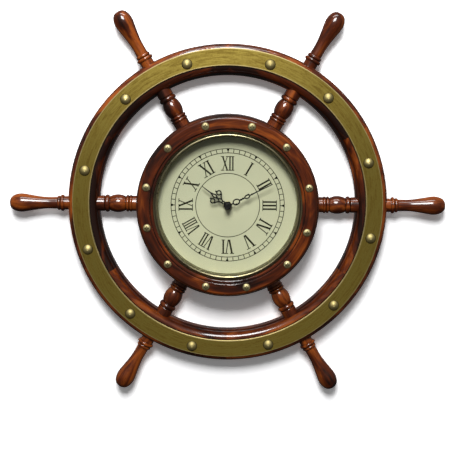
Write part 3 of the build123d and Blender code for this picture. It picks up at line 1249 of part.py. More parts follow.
with BuildPart() as coil_bobbin:
    for flange_bottom in (COIL_BOTTOM - BOBBIN_FLANGE_THICKNESS, COIL_TOP):
        with BuildSketch(Plane.XY.offset(flange_bottom)):
            with Locations((CORE_X, -core_depth)):
                Rectangle(BOBBIN_FLANGE, BOBBIN_FLANGE)
        extrude(amount=BOBBIN_FLANGE_THICKNESS)
    with BuildSketch(Plane.XY.offset(COIL_BOTTOM)):
        with Locations((CORE_X, -core_depth)):
            Circle(COIL_INNER_RADIUS)
    extrude(amount=COIL_TOP - COIL_BOTTOM)
    with BuildSketch(Plane.XY.offset(COIL_BOTTOM - BOBBIN_FLANGE_THICKNESS)):
        with Locations((CORE_X, -core_depth)):
            Rectangle(CORE_WIDTH + 2 * FIT, CORE_THICKNESS + 2 * FIT)
    extrude(amount=COIL_TOP - COIL_BOTTOM + 2 * BOBBIN_FLANGE_THICKNESS, mode=Mode.SUBTRACT)
coil_bobbin.part.label = "coil_bobbin"
export_step(coil_bobbin.part, "parts/coil_bobbin.step")

with BuildPart() as coil_winding:
    with BuildSketch(Plane.XY.offset(COIL_BOTTOM)):
        with Locations((CORE_X, -core_depth)):
            Circle(COIL_RADIUS)
            Circle(COIL_INNER_RADIUS, mode=Mode.SUBTRACT)
    extrude(amount=COIL_TOP - COIL_BOTTOM)
coil_winding.part.label = "coil_winding"
export_step(coil_winding.part, "parts/coil_winding.step")

# Circuit board, chip and quartz crystal
with BuildPart() as circuit_board:
    with BuildSketch(front(BOARD_BACK)):
        with Locations(((BOARD_LEFT + BOARD_RIGHT) / 2, (BOARD_BOTTOM + BOARD_TOP) / 2)):
            Rectangle(BOARD_RIGHT - BOARD_LEFT, BOARD_TOP - BOARD_BOTTOM)
    extrude(amount=BOARD_THICKNESS)
circuit_board.part.label = "circuit_board"
export_step(circuit_board.part, "parts/circuit_board.step")

with BuildPart() as chip:
    with BuildSketch(front(BOARD_BACK - CHIP_THICKNESS)):
        with Locations(CHIP_PLACE):
            Rectangle(CHIP_WIDTH, CHIP_HEIGHT)
    extrude(amount=CHIP_THICKNESS)
chip.part.label = "chip"
export_step(chip.part, "parts/chip.step")

with BuildPart() as quartz_crystal:
    with BuildSketch(Plane.YZ.offset(CRYSTAL_PLACE[0] - CRYSTAL_LENGTH / 2)):
        with Locations((-(BOARD_BACK - CRYSTAL_RADIUS), CRYSTAL_PLACE[1])):
            Circle(CRYSTAL_RADIUS)
    extrude(amount=CRYSTAL_LENGTH)
quartz_crystal.part.label = "quartz_crystal"
export_step(quartz_crystal.part, "parts/quartz_crystal.step")

# Battery and its two contacts
battery_half_length = (BATTERY_BODY_LENGTH + BATTERY_NUB_LENGTH) / 2
battery_point = (-BATTERY_DEPTH, BATTERY_HEIGHT)
with BuildPart() as battery:
    with BuildSketch(Plane.YZ.offset(-battery_half_length)):
        with Locations(battery_point):
            Circle(BATTERY_RADIUS)
    extrude(amount=BATTERY_BODY_LENGTH)
    with BuildSketch(Plane.YZ.offset(battery_half_length - BATTERY_NUB_LENGTH)):
        with Locations(battery_point):
            Circle(BATTERY_NUB_RADIUS)
    extrude(amount=BATTERY_NUB_LENGTH)
battery.part.label = "battery"
export_step(battery.part, "parts/battery.step")

contact_reach = CONTACT_SPACE - FIT
for side, name in ((1, "contact_plus"), (-1, "contact_minus")):
    with BuildPart() as contact:
        with BuildSketch(Plane.YZ.offset(side * CHAMBER_WIDTH / 2)):
            with Locations(battery_point):
                Rectangle(CONTACT_SIZE, CONTACT_SIZE)
        extrude(amount=-side * CONTACT_THICKNESS)
        with BuildSketch(Plane.YZ.offset(side * CHAMBER_WIDTH / 2)):
            with Locations(battery_point):
                Circle(CONTACT_DIMPLE_RADIUS)
        extrude(amount=-side * contact_reach)
    contact.part.label = name
    export_step(contact.part, f"parts/{name}.step")

# Hour hand: loop, lyre arms, side rings, crossed ribs, diamond and needle
with BuildPart() as hour_hand:
    with BuildSketch(hand_plane(HOUR_HAND_ANGLE, HOUR_HAND_BACK)):
        loop_place = (HOUR_HAND_LENGTH * HOUR_LOOP_SHARE, 0)
        loop_radius = HOUR_HAND_LENGTH * HOUR_LOOP_RADIUS_SHARE
        ring_across, ring_up = HOUR_RING_SHARES
        ring_places = from_shares(HOUR_HAND_LENGTH, ((ring_across, ring_up), (ring_across, -ring_up)))
        ring_radius = HOUR_HAND_LENGTH * HOUR_RING_RADIUS_SHARE
        with Locations(loop_place):
            Circle(loop_radius)
            Circle(loop_radius - HAND_STROKE, mode=Mode.SUBTRACT)
        with Locations(*ring_places):
            Circle(ring_radius)
            Circle(ring_radius - HAND_STROKE, mode=Mode.SUBTRACT)
        for side in (1, -1):
            for shares in (HOUR_ARM_SHARES, HOUR_CROSS_SHARES, HOUR_SPUR_SHARES):
                with BuildLine():
                    Polyline(*from_shares(HOUR_HAND_LENGTH, [(across, side * up) for across, up in shares]))
                trace(line_width=HAND_STROKE)
        Polygon(*from_shares(HOUR_HAND_LENGTH, HOUR_DIAMOND_SHARES), align=None)
        Polygon(*from_shares(HOUR_HAND_LENGTH, HOUR_NEEDLE_SHARES), align=None)
        Circle(HOUR_COLLET_RADIUS)
        Rectangle(loop_place[0] - loop_radius + HAND_STROKE, HAND_STROKE, align=(Align.MIN, Align.CENTER))
        Circle(HOUR_PIPE_RADIUS + FIT, mode=Mode.SUBTRACT)
    extrude(amount=HAND_THICKNESS)
    with BuildSketch(front(HOUR_COLLET_BACK)):
        Circle(HOUR_COLLET_RADIUS)
        Circle(HOUR_PIPE_RADIUS + FIT, mode=Mode.SUBTRACT)
    extrude(amount=HOUR_PIPE_FRONT - HOUR_COLLET_BACK)
hour_hand.part.label = "hour_hand"
export_step(hour_hand.part, "parts/hour_hand.step")

# Minute hand: two loops with a twist between them, beads, diamond and needle
with BuildPart() as minute_hand:
    with BuildSketch(hand_plane(MINUTE_HAND_ANGLE, MINUTE_HAND_BACK)):
        for place_share, size_shares in (
            (MINUTE_LOOP_SHARE, MINUTE_LOOP_SIZE_SHARES),
            (MINUTE_SECOND_LOOP_SHARE, MINUTE_SECOND_LOOP_SIZE_SHARES),
        ):
            half_long, half_wide = [MINUTE_HAND_LENGTH * share for share in size_shares]
            with Locations((MINUTE_HAND_LENGTH * place_share, 0)):
                Ellipse(half_long, half_wide)
                Ellipse(half_long - HAND_STROKE, half_wide - HAND_STROKE, mode=Mode.SUBTRACT)
        for shares in (MINUTE_STEM_SHARES, MINUTE_TWIST_SHARES, MINUTE_NECK_SHARES):
            with BuildLine():
                Polyline(*from_shares(MINUTE_HAND_LENGTH, shares))
            trace(line_width=HAND_STROKE)
        with Locations(*from_shares(MINUTE_HAND_LENGTH, MINUTE_BEADS_SHARES)):
            Circle(MINUTE_HAND_LENGTH * MINUTE_BEAD_RADIUS_SHARE)
        Polygon(*from_shares(MINUTE_HAND_LENGTH, MINUTE_DIAMOND_SHARES), align=None)
        Polygon(*from_shares(MINUTE_HAND_LENGTH, MINUTE_NEEDLE_SHARES), align=None)
        Circle(MINUTE_COLLET_RADIUS)
        Circle(MINUTE_ARBOR_RADIUS + FIT, mode=Mode.SUBTRACT)
    extrude(amount=HAND_THICKNESS)
    with BuildSketch(front(MINUTE_COLLET_BACK)):
        Circle(MINUTE_COLLET_RADIUS)
        Circle(MINUTE_ARBOR_RADIUS + FIT, mode=Mode.SUBTRACT)
    extrude(amount=MINUTE_COLLET_FRONT - MINUTE_COLLET_BACK)
minute_hand.part.label = "minute_hand"
export_step(minute_hand.part, "parts/minute_hand.step")

# Cap screwed on the minute arbor
with BuildPart() as hand_cap:
    with BuildSketch(SECTION):
        with BuildLine():
            cap_front = MINUTE_COLLET_FRONT + CAP_HEIGHT
            cap_low = (CAP_RADIUS, cap_front - CAP_ROUND)
            cap_high = (CAP_RADIUS - CAP_ROUND, cap_front)
            Polyline(
                cap_high,
                (0, cap_front),
                (0, MINUTE_COLLET_FRONT + CAP_THREAD_DEPTH),
                (MINUTE_THREAD_RADIUS + FIT, MINUTE_COLLET_FRONT + CAP_THREAD_DEPTH),
                (MINUTE_THREAD_RADIUS + FIT, MINUTE_COLLET_FRONT),
                (CAP_RADIUS, MINUTE_COLLET_FRONT),
                cap_low,
            )
            ThreePointArc(cap_low, round_mid(cap_low, cap_high), cap_high)
        make_face()
    revolve(axis=Axis.Y)
hand_cap.part.label = "hand_cap"
export_step(hand_cap.part, "parts/hand_cap.step")
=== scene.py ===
"""Ship's-wheel wall clock: finishes, printed dial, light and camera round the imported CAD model."""

from math import pi, radians

import bpy
from mathutils import Matrix, Vector


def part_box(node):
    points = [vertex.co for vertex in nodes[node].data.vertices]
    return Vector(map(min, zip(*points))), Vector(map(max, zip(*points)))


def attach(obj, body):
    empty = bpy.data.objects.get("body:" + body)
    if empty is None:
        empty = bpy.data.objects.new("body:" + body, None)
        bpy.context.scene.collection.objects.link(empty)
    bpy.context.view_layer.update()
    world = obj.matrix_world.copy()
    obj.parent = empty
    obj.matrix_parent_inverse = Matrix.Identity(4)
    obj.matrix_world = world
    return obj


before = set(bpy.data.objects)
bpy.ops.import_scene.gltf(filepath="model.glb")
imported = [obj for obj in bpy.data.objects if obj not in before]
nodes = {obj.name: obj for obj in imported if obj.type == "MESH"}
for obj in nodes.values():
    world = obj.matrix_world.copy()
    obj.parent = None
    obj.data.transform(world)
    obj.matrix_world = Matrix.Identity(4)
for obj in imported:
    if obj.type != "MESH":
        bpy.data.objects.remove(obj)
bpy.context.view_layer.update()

MM = 0.001
SPOKE_COUNT = 6
SPOKE_PITCH = 360 / SPOKE_COUNT

# The photograph's frame, in pixels, and where its camera stood, in metres and degrees
PHOTO_WIDTH = 459
PHOTO_HEIGHT = 458
FOCAL_PIXELS = 1121
CAMERA_PLACE = (-0.0008, -1.575, 0.1925)
CAMERA_YAW = 0.134
CAMERA_PITCH = -8.307
CAMERA_ROLL = 0.458
SENSOR_WIDTH = 36.0


# Building blocks of the node trees

def put(tree, kind, inputs=(), **settings):
    """One node in a tree. inputs are (socket, value or output socket) pairs."""
    node = tree.nodes.new(kind)
    for name, value in settings.items():
        setattr(node, name, value)
    for name, value in inputs:
        socket = node.inputs[name]
        if isinstance(value, bpy.types.NodeSocket):
            tree.links.new(value, socket)
        else:
            socket.default_value = value
    return node


def sums(tree, operation, first, second=0.0, third=0.0):
    """A number worked out from one to three others."""
    numbers = ((0, first), (1, second), (2, third))
    return put(tree, "ShaderNodeMath", numbers, operation=operation).outputs[0]


def blended(tree, share, first, second):
    """Two colours blended by a share. The colour sockets of the node are its inputs 6 and 7."""
    node = put(tree, "ShaderNodeMix", data_type="RGBA")
    for socket, value in zip((node.inputs[0], node.inputs[6], node.inputs[7]), (share, first, second)):
        if isinstance(value, bpy.types.NodeSocket):
            tree.links.new(value, socket)
        else:
            socket.default_value = value
    return node.outputs[2]


def ramp(tree, share, *stops):
    """Colour ramp with (place, colour or grey) stops."""
    node = put(tree, "ShaderNodeValToRGB", (("Fac", share),))
    elements = node.color_ramp.elements
    while len(elements) < len(stops):
        elements.new(0.5)
    for element, (place, colour) in zip(elements, stops):
        element.position = place
        element.color = colour if isinstance(colour, tuple) else (colour, colour, colour, 1)
    return node.outputs["Color"]


def cloud(tree, coordinates, scale, detail, rough=0.55, twist=0.0):
    """Noise from 0 to 1."""
    inputs = (
        ("Vector", coordinates), ("Scale", scale), ("Detail", detail),
        ("Roughness", rough), ("Distortion", twist),
    )
    return put(tree, "ShaderNodeTexNoise", inputs).outputs["Fac"]


def placed(tree, turn=(0, 0, 0), stretch=(1, 1, 1), shift=(0, 0, 0)):
    """Object coordinates, turned, stretched and shifted."""
    where = put(tree, "ShaderNodeTexCoord").outputs["Object"]
    turned = put(tree, "ShaderNodeMapping", (("Vector", where), ("Rotation", turn), ("Location", shift)))
    return put(tree, "ShaderNodeMapping", (("Vector", turned.outputs[0]), ("Scale", stretch))).outputs[0]


def from_axis(tree):
    """Object coordinates with the depth left out, and the depth."""
    where = put(tree, "ShaderNodeTexCoord").outputs["Object"]
    split = put(tree, "ShaderNodeSeparateXYZ", (("Vector", where),)).outputs
    return put(tree, "ShaderNodeCombineXYZ", (("X", split["X"]), ("Z", split["Z"]))).outputs[0], split["Y"]


def axis_distance(tree):
    """Distance from the wheel's axis."""
    flat = from_axis(tree)[0]
    return put(tree, "ShaderNodeVectorMath", ((0, flat),), operation="LENGTH").outputs["Value"]


def round_the_axis(tree, along, across):
    """Coordinates that follow circles round the wheel's axis, for spun metal and bent grain."""
    flat, depth = from_axis(tree)
    reach = axis_distance(tree)
    ways = put(tree, "ShaderNodeVectorMath", ((0, flat),), operation="NORMALIZE").outputs["Vector"]
    way = put(tree, "ShaderNodeSeparateXYZ", (("Vector", ways),)).outputs
    wound = put(tree, "ShaderNodeCombineXYZ", (
        ("X", sums(tree, "MULTIPLY", way["X"], along)),
        ("Y", sums(tree, "MULTIPLY", way["Z"], along)),
        ("Z", sums(tree, "MULTIPLY_ADD", reach, across, sums(tree, "MULTIPLY", depth, across))),
    ))
    return wound.outputs[0]


def rough_bump(tree, height, distance, strength, under=None):
    """Surface normal from a height; distance is the height's real size in metres."""
    inputs = [("Height", height), ("Distance", distance), ("Strength", strength)]
    if under is not None:
        inputs.append(("Normal", under))
    return put(tree, "ShaderNodeBump", inputs).outputs["Normal"]


def hollow(tree, reach):
    """1 on open faces, towards 0 in grooves and corners of the same piece."""
    node = put(tree, "ShaderNodeAmbientOcclusion", (("Distance", reach),), only_local=True, samples=8)
    return node.outputs["AO"]


def settled(tree, start, end, start_share, end_share):
    """Share that changes evenly from one depth of the clock to another."""
    node = put(tree, "ShaderNodeMapRange", (
        ("Value", from_axis(tree)[1]), ("From Min", start), ("From Max", end),
        ("To Min", start_share), ("To Max", end_share)))
    return node.outputs[0]


def faded(colour, gain, lift):
    """The same colour, paler."""
    return tuple(min(1, channel * gain + lift) for channel in colour[:3]) + (1,)


def new_finish(name, **sockets):
    """Material with one Principled shader whose even values are set on its own sockets."""
    material = bpy.data.materials.new(name)
    material.use_nodes = True
    tree = material.node_tree
    shader = tree.nodes["Principled BSDF"]
    for socket, value in sockets.items():
        shader.inputs[socket.replace("_", " ")].default_value = value
    return material, tree, shader


def feed(tree, shader, **sockets):
    """Links outputs to the shader's sockets of these names."""
    for socket, output in sockets.items():
        tree.links.new(output, shader.inputs[socket.replace("_", " ")])


# Finishes. Colours are linear, lengths in metres

DARK_WOOD = (0.012, 0.0034, 0.0018, 1)
RED_WOOD = (0.082, 0.0140, 0.0024, 1)
AMBER_WOOD = (0.30, 0.068, 0.0075, 1)
# Near-black glaze for the wood's grooves, which also serves as painted shade there
GLAZE_AND_SHADE = (0.006, 0.0020, 0.0014, 1)
VARNISH_IOR = 1.5
VARNISH_ROUGHNESS = 0.12
FLAME_SHARE = 0.70
STREAK_SHARE = 0.24
THREAD_SHARE = 0.10
PORE_STRENGTH = 0.55
GLAZE_AND_SHADE_STRENGTH = 0.85
WIDE_GROOVE = 10 * MM
FINE_GROOVE = 2.5 * MM
VARNISH_RIPPLE = 0.4 * MM
GRAIN_DEPTH = 0.08 * MM

# Near-black dirt for brass, also used as painted shade in corners, painted shadow round the feet of heads and
# painted shade round screw recesses
GRIME_AND_SHADE = (0.030, 0.022, 0.006, 1)
# Pale brass for the band's worn edges, which is also a painted highlight there
RUBBED_AND_LIT_BRASS = (0.72, 0.59, 0.27, 1)
BAND_OUTER_RADIUS = 216 * MM
BAND_INNER_RADIUS = 192 * MM
BAND_RUBBED_AND_LIT_EDGES = ((BAND_OUTER_RADIUS, 1.6 * MM), (BAND_INNER_RADIUS, 1.8 * MM))
CORNER_REACH = 4 * MM
CORNER_GRIME_AND_SHADE = 0.9
FOOT_SHADOW = 0.95
CROWN_SHADE = 0.85
SPUN_LINE_DEPTH = 0.06 * MM
SPUN_GLOSS = 0.2

CARD_CREAM = (0.535, 0.545, 0.365, 1)
CARD_YELLOWED = (0.585, 0.58, 0.38, 1)
CARD_FIBRE = (0.42, 0.41, 0.25, 1)
FIBRE_DEPTH = 0.04 * MM
INK_FULL = (0.008, 0.007, 0.002, 1)
INK_THIN = (0.024, 0.022, 0.008, 1)
PAINT_RIPPLE = 0.03 * MM
ROLLING_LINE_DEPTH = 0.04 * MM
WIRE_SHADE = (0.30, 0.10, 0.04, 1)
WIRE_SHINE = (0.74, 0.33, 0.15, 1)
WIRE_TURNS = 900.0
WIRE_DEPTH = 0.1 * MM
GLASS_TINT = (0.97, 0.98, 0.97, 1)
GLASS_WAVE = 0.1 * MM


def mahogany(name, turn, shift, tone, rim_tone=None, ring_radius=None):
    """Stained mahogany under gloss varnish. turn brings the grain onto the local X axis, or ring_radius
    bends it round the wheel's axis; shift is the place in the log. tone lightens the stain, and rim_tone is
    the tone that it reaches at the brass band's outer edge."""

    def grain(stretch):
        if ring_radius is None:
            return placed(tree, turn, (stretch, 1, 1), shift)
        bent = round_the_axis(tree, ring_radius * stretch, 1.0)
        return put(tree, "ShaderNodeVectorMath", ((0, bent), (1, shift)), operation="ADD").outputs[0]

    material, tree, shader = new_finish(
        name, IOR=VARNISH_IOR, Specular_IOR_Level=0.1,
        Coat_Weight=1.0, Coat_Roughness=VARNISH_ROUGHNESS, Coat_IOR=VARNISH_IOR,
    )
    flame = cloud(tree, grain(0.22), scale=44, detail=3, rough=0.6, twist=0.7)
    streak = cloud(tree, grain(0.06), scale=230, detail=4, rough=0.6, twist=0.25)
    thread = cloud(tree, grain(0.035), scale=1100, detail=3, rough=0.6)
    pores = cloud(tree, grain(0.03), scale=2600, detail=1, rough=0.4)
    figure = sums(tree, "MULTIPLY_ADD", flame, FLAME_SHARE, sums(tree, "MULTIPLY", streak, STREAK_SHARE))
    figure = sums(tree, "ADD", sums(tree, "MULTIPLY_ADD", thread, THREAD_SHARE, figure), tone)
    if rim_tone is not None:
        stain = put(tree, "ShaderNodeMapRange", (
            ("Value", axis_distance(tree)), ("From Min", BAND_INNER_RADIUS), ("From Max", BAND_OUTER_RADIUS),
            ("To Min", 0.0), ("To Max", rim_tone - tone)))
        figure = sums(tree, "ADD", figure, stain.outputs[0])
    wood = ramp(tree, figure, (0.40, DARK_WOOD), (0.52, RED_WOOD), (0.65, AMBER_WOOD))
    open_pore = ramp(tree, pores, (0.60, 0.0), (0.70, 1.0))
    wood = blended(tree, sums(tree, "MULTIPLY", open_pore, PORE_STRENGTH), wood, DARK_WOOD)
    # Dark glaze and painted shade in grooves and corners, from the occlusion of the piece's own hollows
    glaze_and_shade_share = sums(
        tree, "MAXIMUM",
        ramp(tree, hollow(tree, WIDE_GROOVE), (0.30, 1.0), (0.85, 0.0)),
        ramp(tree, hollow(tree, FINE_GROOVE), (0.50, 1.0), (0.90, 0.0)),
    )
    wood = blended(tree, sums(tree, "MULTIPLY", glaze_and_shade_share, GLAZE_AND_SHADE_STRENGTH), wood, GLAZE_AND_SHADE)
    dull = sums(tree, "MULTIPLY_ADD", cloud(tree, placed(tree), scale=60, detail=3), 0.25, 0.30)
    ripple = cloud(tree, grain(0.5), scale=70, detail=2, rough=0.4)
    wavy = rough_bump(tree, ripple, VARNISH_RIPPLE, strength=0.35)
    relief = sums(tree, "SUBTRACT", thread, sums(tree, "MULTIPLY", open_pore, 0.5))
    grained = rough_bump(tree, relief, GRAIN_DEPTH, strength=0.6, under=wavy)
    feed(tree, shader, Base_Color=wood, Roughness=dull, Normal=grained, Coat_Normal=wavy)
    return material


def brass(name, bright, dark, tarnish, brushing, roughness, edges=(), foot=None, crown=None):
    """Aged brass: spun lines round the wheel's axis, cloudy tarnish, and dirt with painted shade in corners.
    edges are (radius, width) of circles worn bright and painted as a highlight; foot is (depth, rise) of the
    painted shadow round the foot of a head, crown (depth, drop) of the painted shade round the recess in its
    top."""
    material, tree, shader = new_finish(
        name, Metallic=1.0, Anisotropic=SPUN_GLOSS if edges else 0.0, Anisotropic_Rotation=0.25,
    )
    lines = cloud(tree, round_the_axis(tree, along=5.0, across=1500.0), scale=1.0, detail=3, rough=0.6)
    where = round_the_axis(tree, along=0.22, across=9.0) if edges else placed(tree)
    clouds = cloud(tree, where, scale=38, detail=5, rough=0.62, twist=0.9)
    specks = cloud(tree, placed(tree), scale=420, detail=3, rough=0.65)
    aged = sums(tree, "MULTIPLY_ADD", clouds, 0.75, sums(tree, "MULTIPLY", specks, 0.25))
    spread = ramp(tree, aged, (0.40, 0.0), (0.62, 1.0))
    colour = blended(tree, sums(tree, "MULTIPLY", spread, tarnish), bright, dark)
    colour = blended(tree, sums(tree, "MULTIPLY", lines, brushing), colour, dark)
    # Dirt and painted shade in the corners, from the occlusion of the piece's own hollows
    hollow_grime_and_shade = ramp(tree, hollow(tree, CORNER_REACH), (0.35, 1.0), (0.85, 0.0))
    colour = blended(tree, sums(tree, "MULTIPLY", hollow_grime_and_shade, CORNER_GRIME_AND_SHADE), colour, GRIME_AND_SHADE)
    # Painted shadow round the foot of a head
    if foot:
        low, rise = foot
        colour = blended(tree, settled(tree, low - rise, low, 0.0, FOOT_SHADOW), colour, GRIME_AND_SHADE)
    # Painted shade round the recess in the top of a head
    if crown:
        high, drop = crown
        colour = blended(tree, settled(tree, high, high + drop, CROWN_SHADE, 0.0), colour, GRIME_AND_SHADE)
    worn = sums(tree, "MULTIPLY_ADD", spread, 0.16, roughness)
    worn = sums(tree, "MULTIPLY_ADD", lines, 0.10, worn)
    if edges:
        # Circles along the band's edges, worn bright and painted as a highlight
        reach = axis_distance(tree)
        for radius, width in edges:
            off = sums(tree, "ABSOLUTE", sums(tree, "SUBTRACT", reach, radius))
            rubbed_and_lit = ramp(tree, sums(tree, "DIVIDE", off, width), (0.55, 1.0), (1.0, 0.0))
            rubbed_and_lit = sums(tree, "MULTIPLY", rubbed_and_lit, sums(tree, "MULTIPLY_ADD", specks, 0.6, 0.45))
            colour = blended(tree, rubbed_and_lit, colour, RUBBED_AND_LIT_BRASS)
        spun = put(tree, "ShaderNodeTangent", direction_type="RADIAL", axis="Y").outputs[0]
        feed(tree, shader, Tangent=spun)
    height = sums(tree, "MULTIPLY_ADD", lines, brushing, sums(tree, "MULTIPLY", specks, 0.4))
    relief = rough_bump(tree, height, SPUN_LINE_DEPTH, strength=0.5)
    feed(tree, shader, Base_Color=colour, Roughness=worn, Normal=relief)
    return material


def dial_card():
    """Cream card under the print, faintly fibrous and yellowed in patches."""
    material, tree, shader = new_finish("dial_card", Specular_IOR_Level=0.25)
    fibres = cloud(tree, placed(tree), scale=1800, detail=4, rough=0.7)
    ageing = cloud(tree, placed(tree), scale=16, detail=4, rough=0.6)
    colour = ramp(tree, ageing, (0.30, CARD_CREAM), (0.72, CARD_YELLOWED))
    colour = blended(tree, sums(tree, "MULTIPLY", fibres, 0.10), colour, CARD_FIBRE)
    matt = sums(tree, "MULTIPLY_ADD", fibres, 0.15, 0.62)
    relief = rough_bump(tree, fibres, FIBRE_DEPTH, strength=0.5)
    feed(tree, shader, Base_Color=colour, Roughness=matt, Normal=relief)
    return material


def printing_ink():
    """Black ink, a little thin where the card's fibres show."""
    material, tree, shader = new_finish("printing_ink", Specular_IOR_Level=0.12)
    thin = cloud(tree, placed(tree), scale=2400, detail=3, rough=0.6)
    colour = ramp(tree, thin, (0.35, INK_FULL), (0.80, INK_THIN))
    feed(tree, shader, Base_Color=colour, Roughness=sums(tree, "MULTIPLY_ADD", thin, 0.2, 0.45))
    return material


def enamel(name, colour, roughness, orange_peel):
    """Paint on metal with a fine ripple and dulled patches."""
    material, tree, shader = new_finish(name, Specular_IOR_Level=0.12)
    dulled = cloud(tree, placed(tree), scale=140, detail=4, rough=0.6)
    fine = cloud(tree, placed(tree), scale=1600, detail=2, rough=0.5)
    patches = ramp(tree, dulled, (0.45, 0.0), (0.75, 1.0))
    feed(
        tree, shader,
        Base_Color=blended(tree, patches, colour, faded(colour, gain=1.7, lift=0.002)),
        Roughness=sums(tree, "MULTIPLY_ADD", dulled, 0.2, roughness),
        Normal=rough_bump(tree, fine, PAINT_RIPPLE, strength=orange_peel),
    )
    return material


def moulded(name, colour, roughness, grain_scale, grain_depth):
    """Moulded plastic, rubber or board with a sparked grain and slight flow marks."""
    material, tree, shader = new_finish(name, Specular_IOR_Level=0.45)
    grain = cloud(tree, placed(tree), scale=grain_scale, detail=2, rough=0.5)
    flow = cloud(tree, placed(tree, stretch=(0.3, 1, 1)), scale=90, detail=3, rough=0.55, twist=0.6)
    marks = ramp(tree, flow, (0.35, 0.0), (0.75, 1.0))
    feed(
        tree, shader,
        Base_Color=blended(tree, marks, colour, faded(colour, gain=1.35, lift=0.006)),
        Roughness=sums(tree, "MULTIPLY_ADD", grain, 0.18, roughness),
        Normal=rough_bump(tree, grain, grain_depth, strength=0.7),
    )
    return material


def bare_metal(name, bright, dark, roughness, stretch):
    """Plated, stamped or sintered metal; stretch draws its rolling lines out along one axis."""
    material, tree, shader = new_finish(name, Metallic=1.0)
    lines = cloud(tree, placed(tree, stretch=stretch), scale=1500, detail=3, rough=0.6)
    stain = cloud(tree, placed(tree), scale=160, detail=4, rough=0.6, twist=0.5)
    colour = blended(tree, ramp(tree, stain, (0.42, 0.0), (0.72, 1.0)), bright, dark)
    worn = sums(tree, "MULTIPLY_ADD", lines, 0.18, sums(tree, "MULTIPLY_ADD", stain, 0.12, roughness))
    relief = rough_bump(tree, lines, ROLLING_LINE_DEPTH, strength=0.5)
    feed(tree, shader, Base_Color=colour, Roughness=worn, Normal=relief)
    return material


def coil_wire():
    """Enamelled copper wire wound in close turns up the coil."""
    material, tree, shader = new_finish("coil_wire", Metallic=1.0, Coat_Weight=0.5, Coat_Roughness=0.2)
    where = put(tree, "ShaderNodeTexCoord").outputs["Object"]
    turns = put(
        tree, "ShaderNodeTexWave", (("Vector", where), ("Scale", WIRE_TURNS), ("Distortion", 0.6)),
        wave_type="BANDS", bands_direction="Z",
    ).outputs["Fac"]
    feed(
        tree, shader,
        Base_Color=blended(tree, turns, WIRE_SHADE, WIRE_SHINE),
        Roughness=sums(tree, "MULTIPLY_ADD", turns, -0.15, 0.42),
        Normal=rough_bump(tree, turns, WIRE_DEPTH, strength=0.8),
    )
    return material


def window_glass():
    """Clear flat glass that lets lamplight through to the dial."""
    material, tree, shader = new_finish(
        "window_glass", Base_Color=(1, 1, 1, 1), Roughness=0.02, IOR=1.45, Transmission_Weight=1.0,
    )
    smear = cloud(tree, placed(tree), scale=26, detail=4, rough=0.6, twist=1.2)
    feed(tree, shader, Normal=rough_bump(tree, smear, GLASS_WAVE, strength=0.05))
    path = put(tree, "ShaderNodeLightPath").outputs
    through = put(tree, "ShaderNodeBsdfTransparent", (("Color", GLASS_TINT),)).outputs[0]
    lit = sums(tree, "MAXIMUM", path["Is Shadow Ray"], path["Is Diffuse Ray"])
    pane = put(tree, "ShaderNodeMixShader", ((0, lit), (1, shader.outputs[0]), (2, through)))
    tree.links.new(pane.outputs[0], tree.nodes["Material Output"].inputs["Surface"])
    return material


# Which finish goes on which CAD node

# Depths of the painted shadow round the feet of rivet and screw heads, and of the painted shade round the
# screw recesses
RIVET_FOOT = (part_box("brass_band")[0].y, 2.2 * MM)
SCREW_FOOT = (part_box("front_ring")[0].y, 1.4 * MM)
SCREW_CROWN = (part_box("ring_screws")[0].y, 0.7 * MM)
ANTIQUE_BRASS = brass(
    "antique_brass", (0.358, 0.274, 0.058, 1), (0.150, 0.098, 0.016, 1),
    tarnish=0.85, brushing=0.30, roughness=0.42, edges=BAND_RUBBED_AND_LIT_EDGES,
)
SCREW_BRASS = brass(
    "screw_brass", (0.66, 0.58, 0.32, 1), (0.44, 0.37, 0.17, 1),
    tarnish=0.45, brushing=0.05, roughness=0.46, foot=SCREW_FOOT, crown=SCREW_CROWN,
)
BEZEL_BRASS = brass(
    "bezel_brass", (0.40, 0.36, 0.21, 1), (0.22, 0.19, 0.10, 1),
    tarnish=0.60, brushing=0.15, roughness=0.22,
)
RIVET_BRASS = brass(
    "rivet_brass", (0.50, 0.42, 0.18, 1), (0.31, 0.245, 0.088, 1),
    tarnish=0.60, brushing=0.10, roughness=0.45, foot=RIVET_FOOT,
)
WHEEL_BRASS = brass(
    "wheel_brass", (0.74, 0.58, 0.26, 1), (0.50, 0.38, 0.15, 1),
    tarnish=0.40, brushing=0.10, roughness=0.26,
)
# The liner's brass is made dark as painted shade inside the dial's well
LINER_BRASS_PAINTED_SHADE = brass(
    "liner_brass_painted_shade", (0.20, 0.185, 0.10, 1), (0.11, 0.097, 0.046, 1),
    tarnish=0.70, brushing=0.40, roughness=0.45,
)
DIAL_CARD = dial_card()
INK = printing_ink()
HAND_BLACK = enamel("hand_black", (0.003, 0.003, 0.0025, 1), roughness=0.55, orange_peel=0.5)
CASE_BLACK = moulded("case_black", (0.016, 0.016, 0.018, 1), 0.46, grain_scale=2600, grain_depth=0.04 * MM)
GEAR_WHITE = moulded("gear_white", (0.70, 0.70, 0.66, 1), 0.40, grain_scale=3200, grain_depth=0.02 * MM)
GASKET_RUBBER = moulded(
    "gasket_rubber", (0.022, 0.022, 0.022, 1), 0.72, grain_scale=1800, grain_depth=0.05 * MM,
)
BOARD_GREEN = moulded("board_green", (0.020, 0.165, 0.055, 1), 0.38, grain_scale=2000, grain_depth=0.03 * MM)
CHIP_BLACK = moulded("chip_black", (0.012, 0.012, 0.013, 1), 0.30, grain_scale=4000, grain_depth=0.02 * MM)
BATTERY_SLEEVE = moulded(
    "battery_sleeve", (0.05, 0.052, 0.058, 1), 0.28, grain_scale=900, grain_depth=0.02 * MM,
)
ZINC = bare_metal("zinc_plate", (0.66, 0.67, 0.66, 1), (0.42, 0.42, 0.40, 1), 0.28, stretch=(0.05, 1, 1))
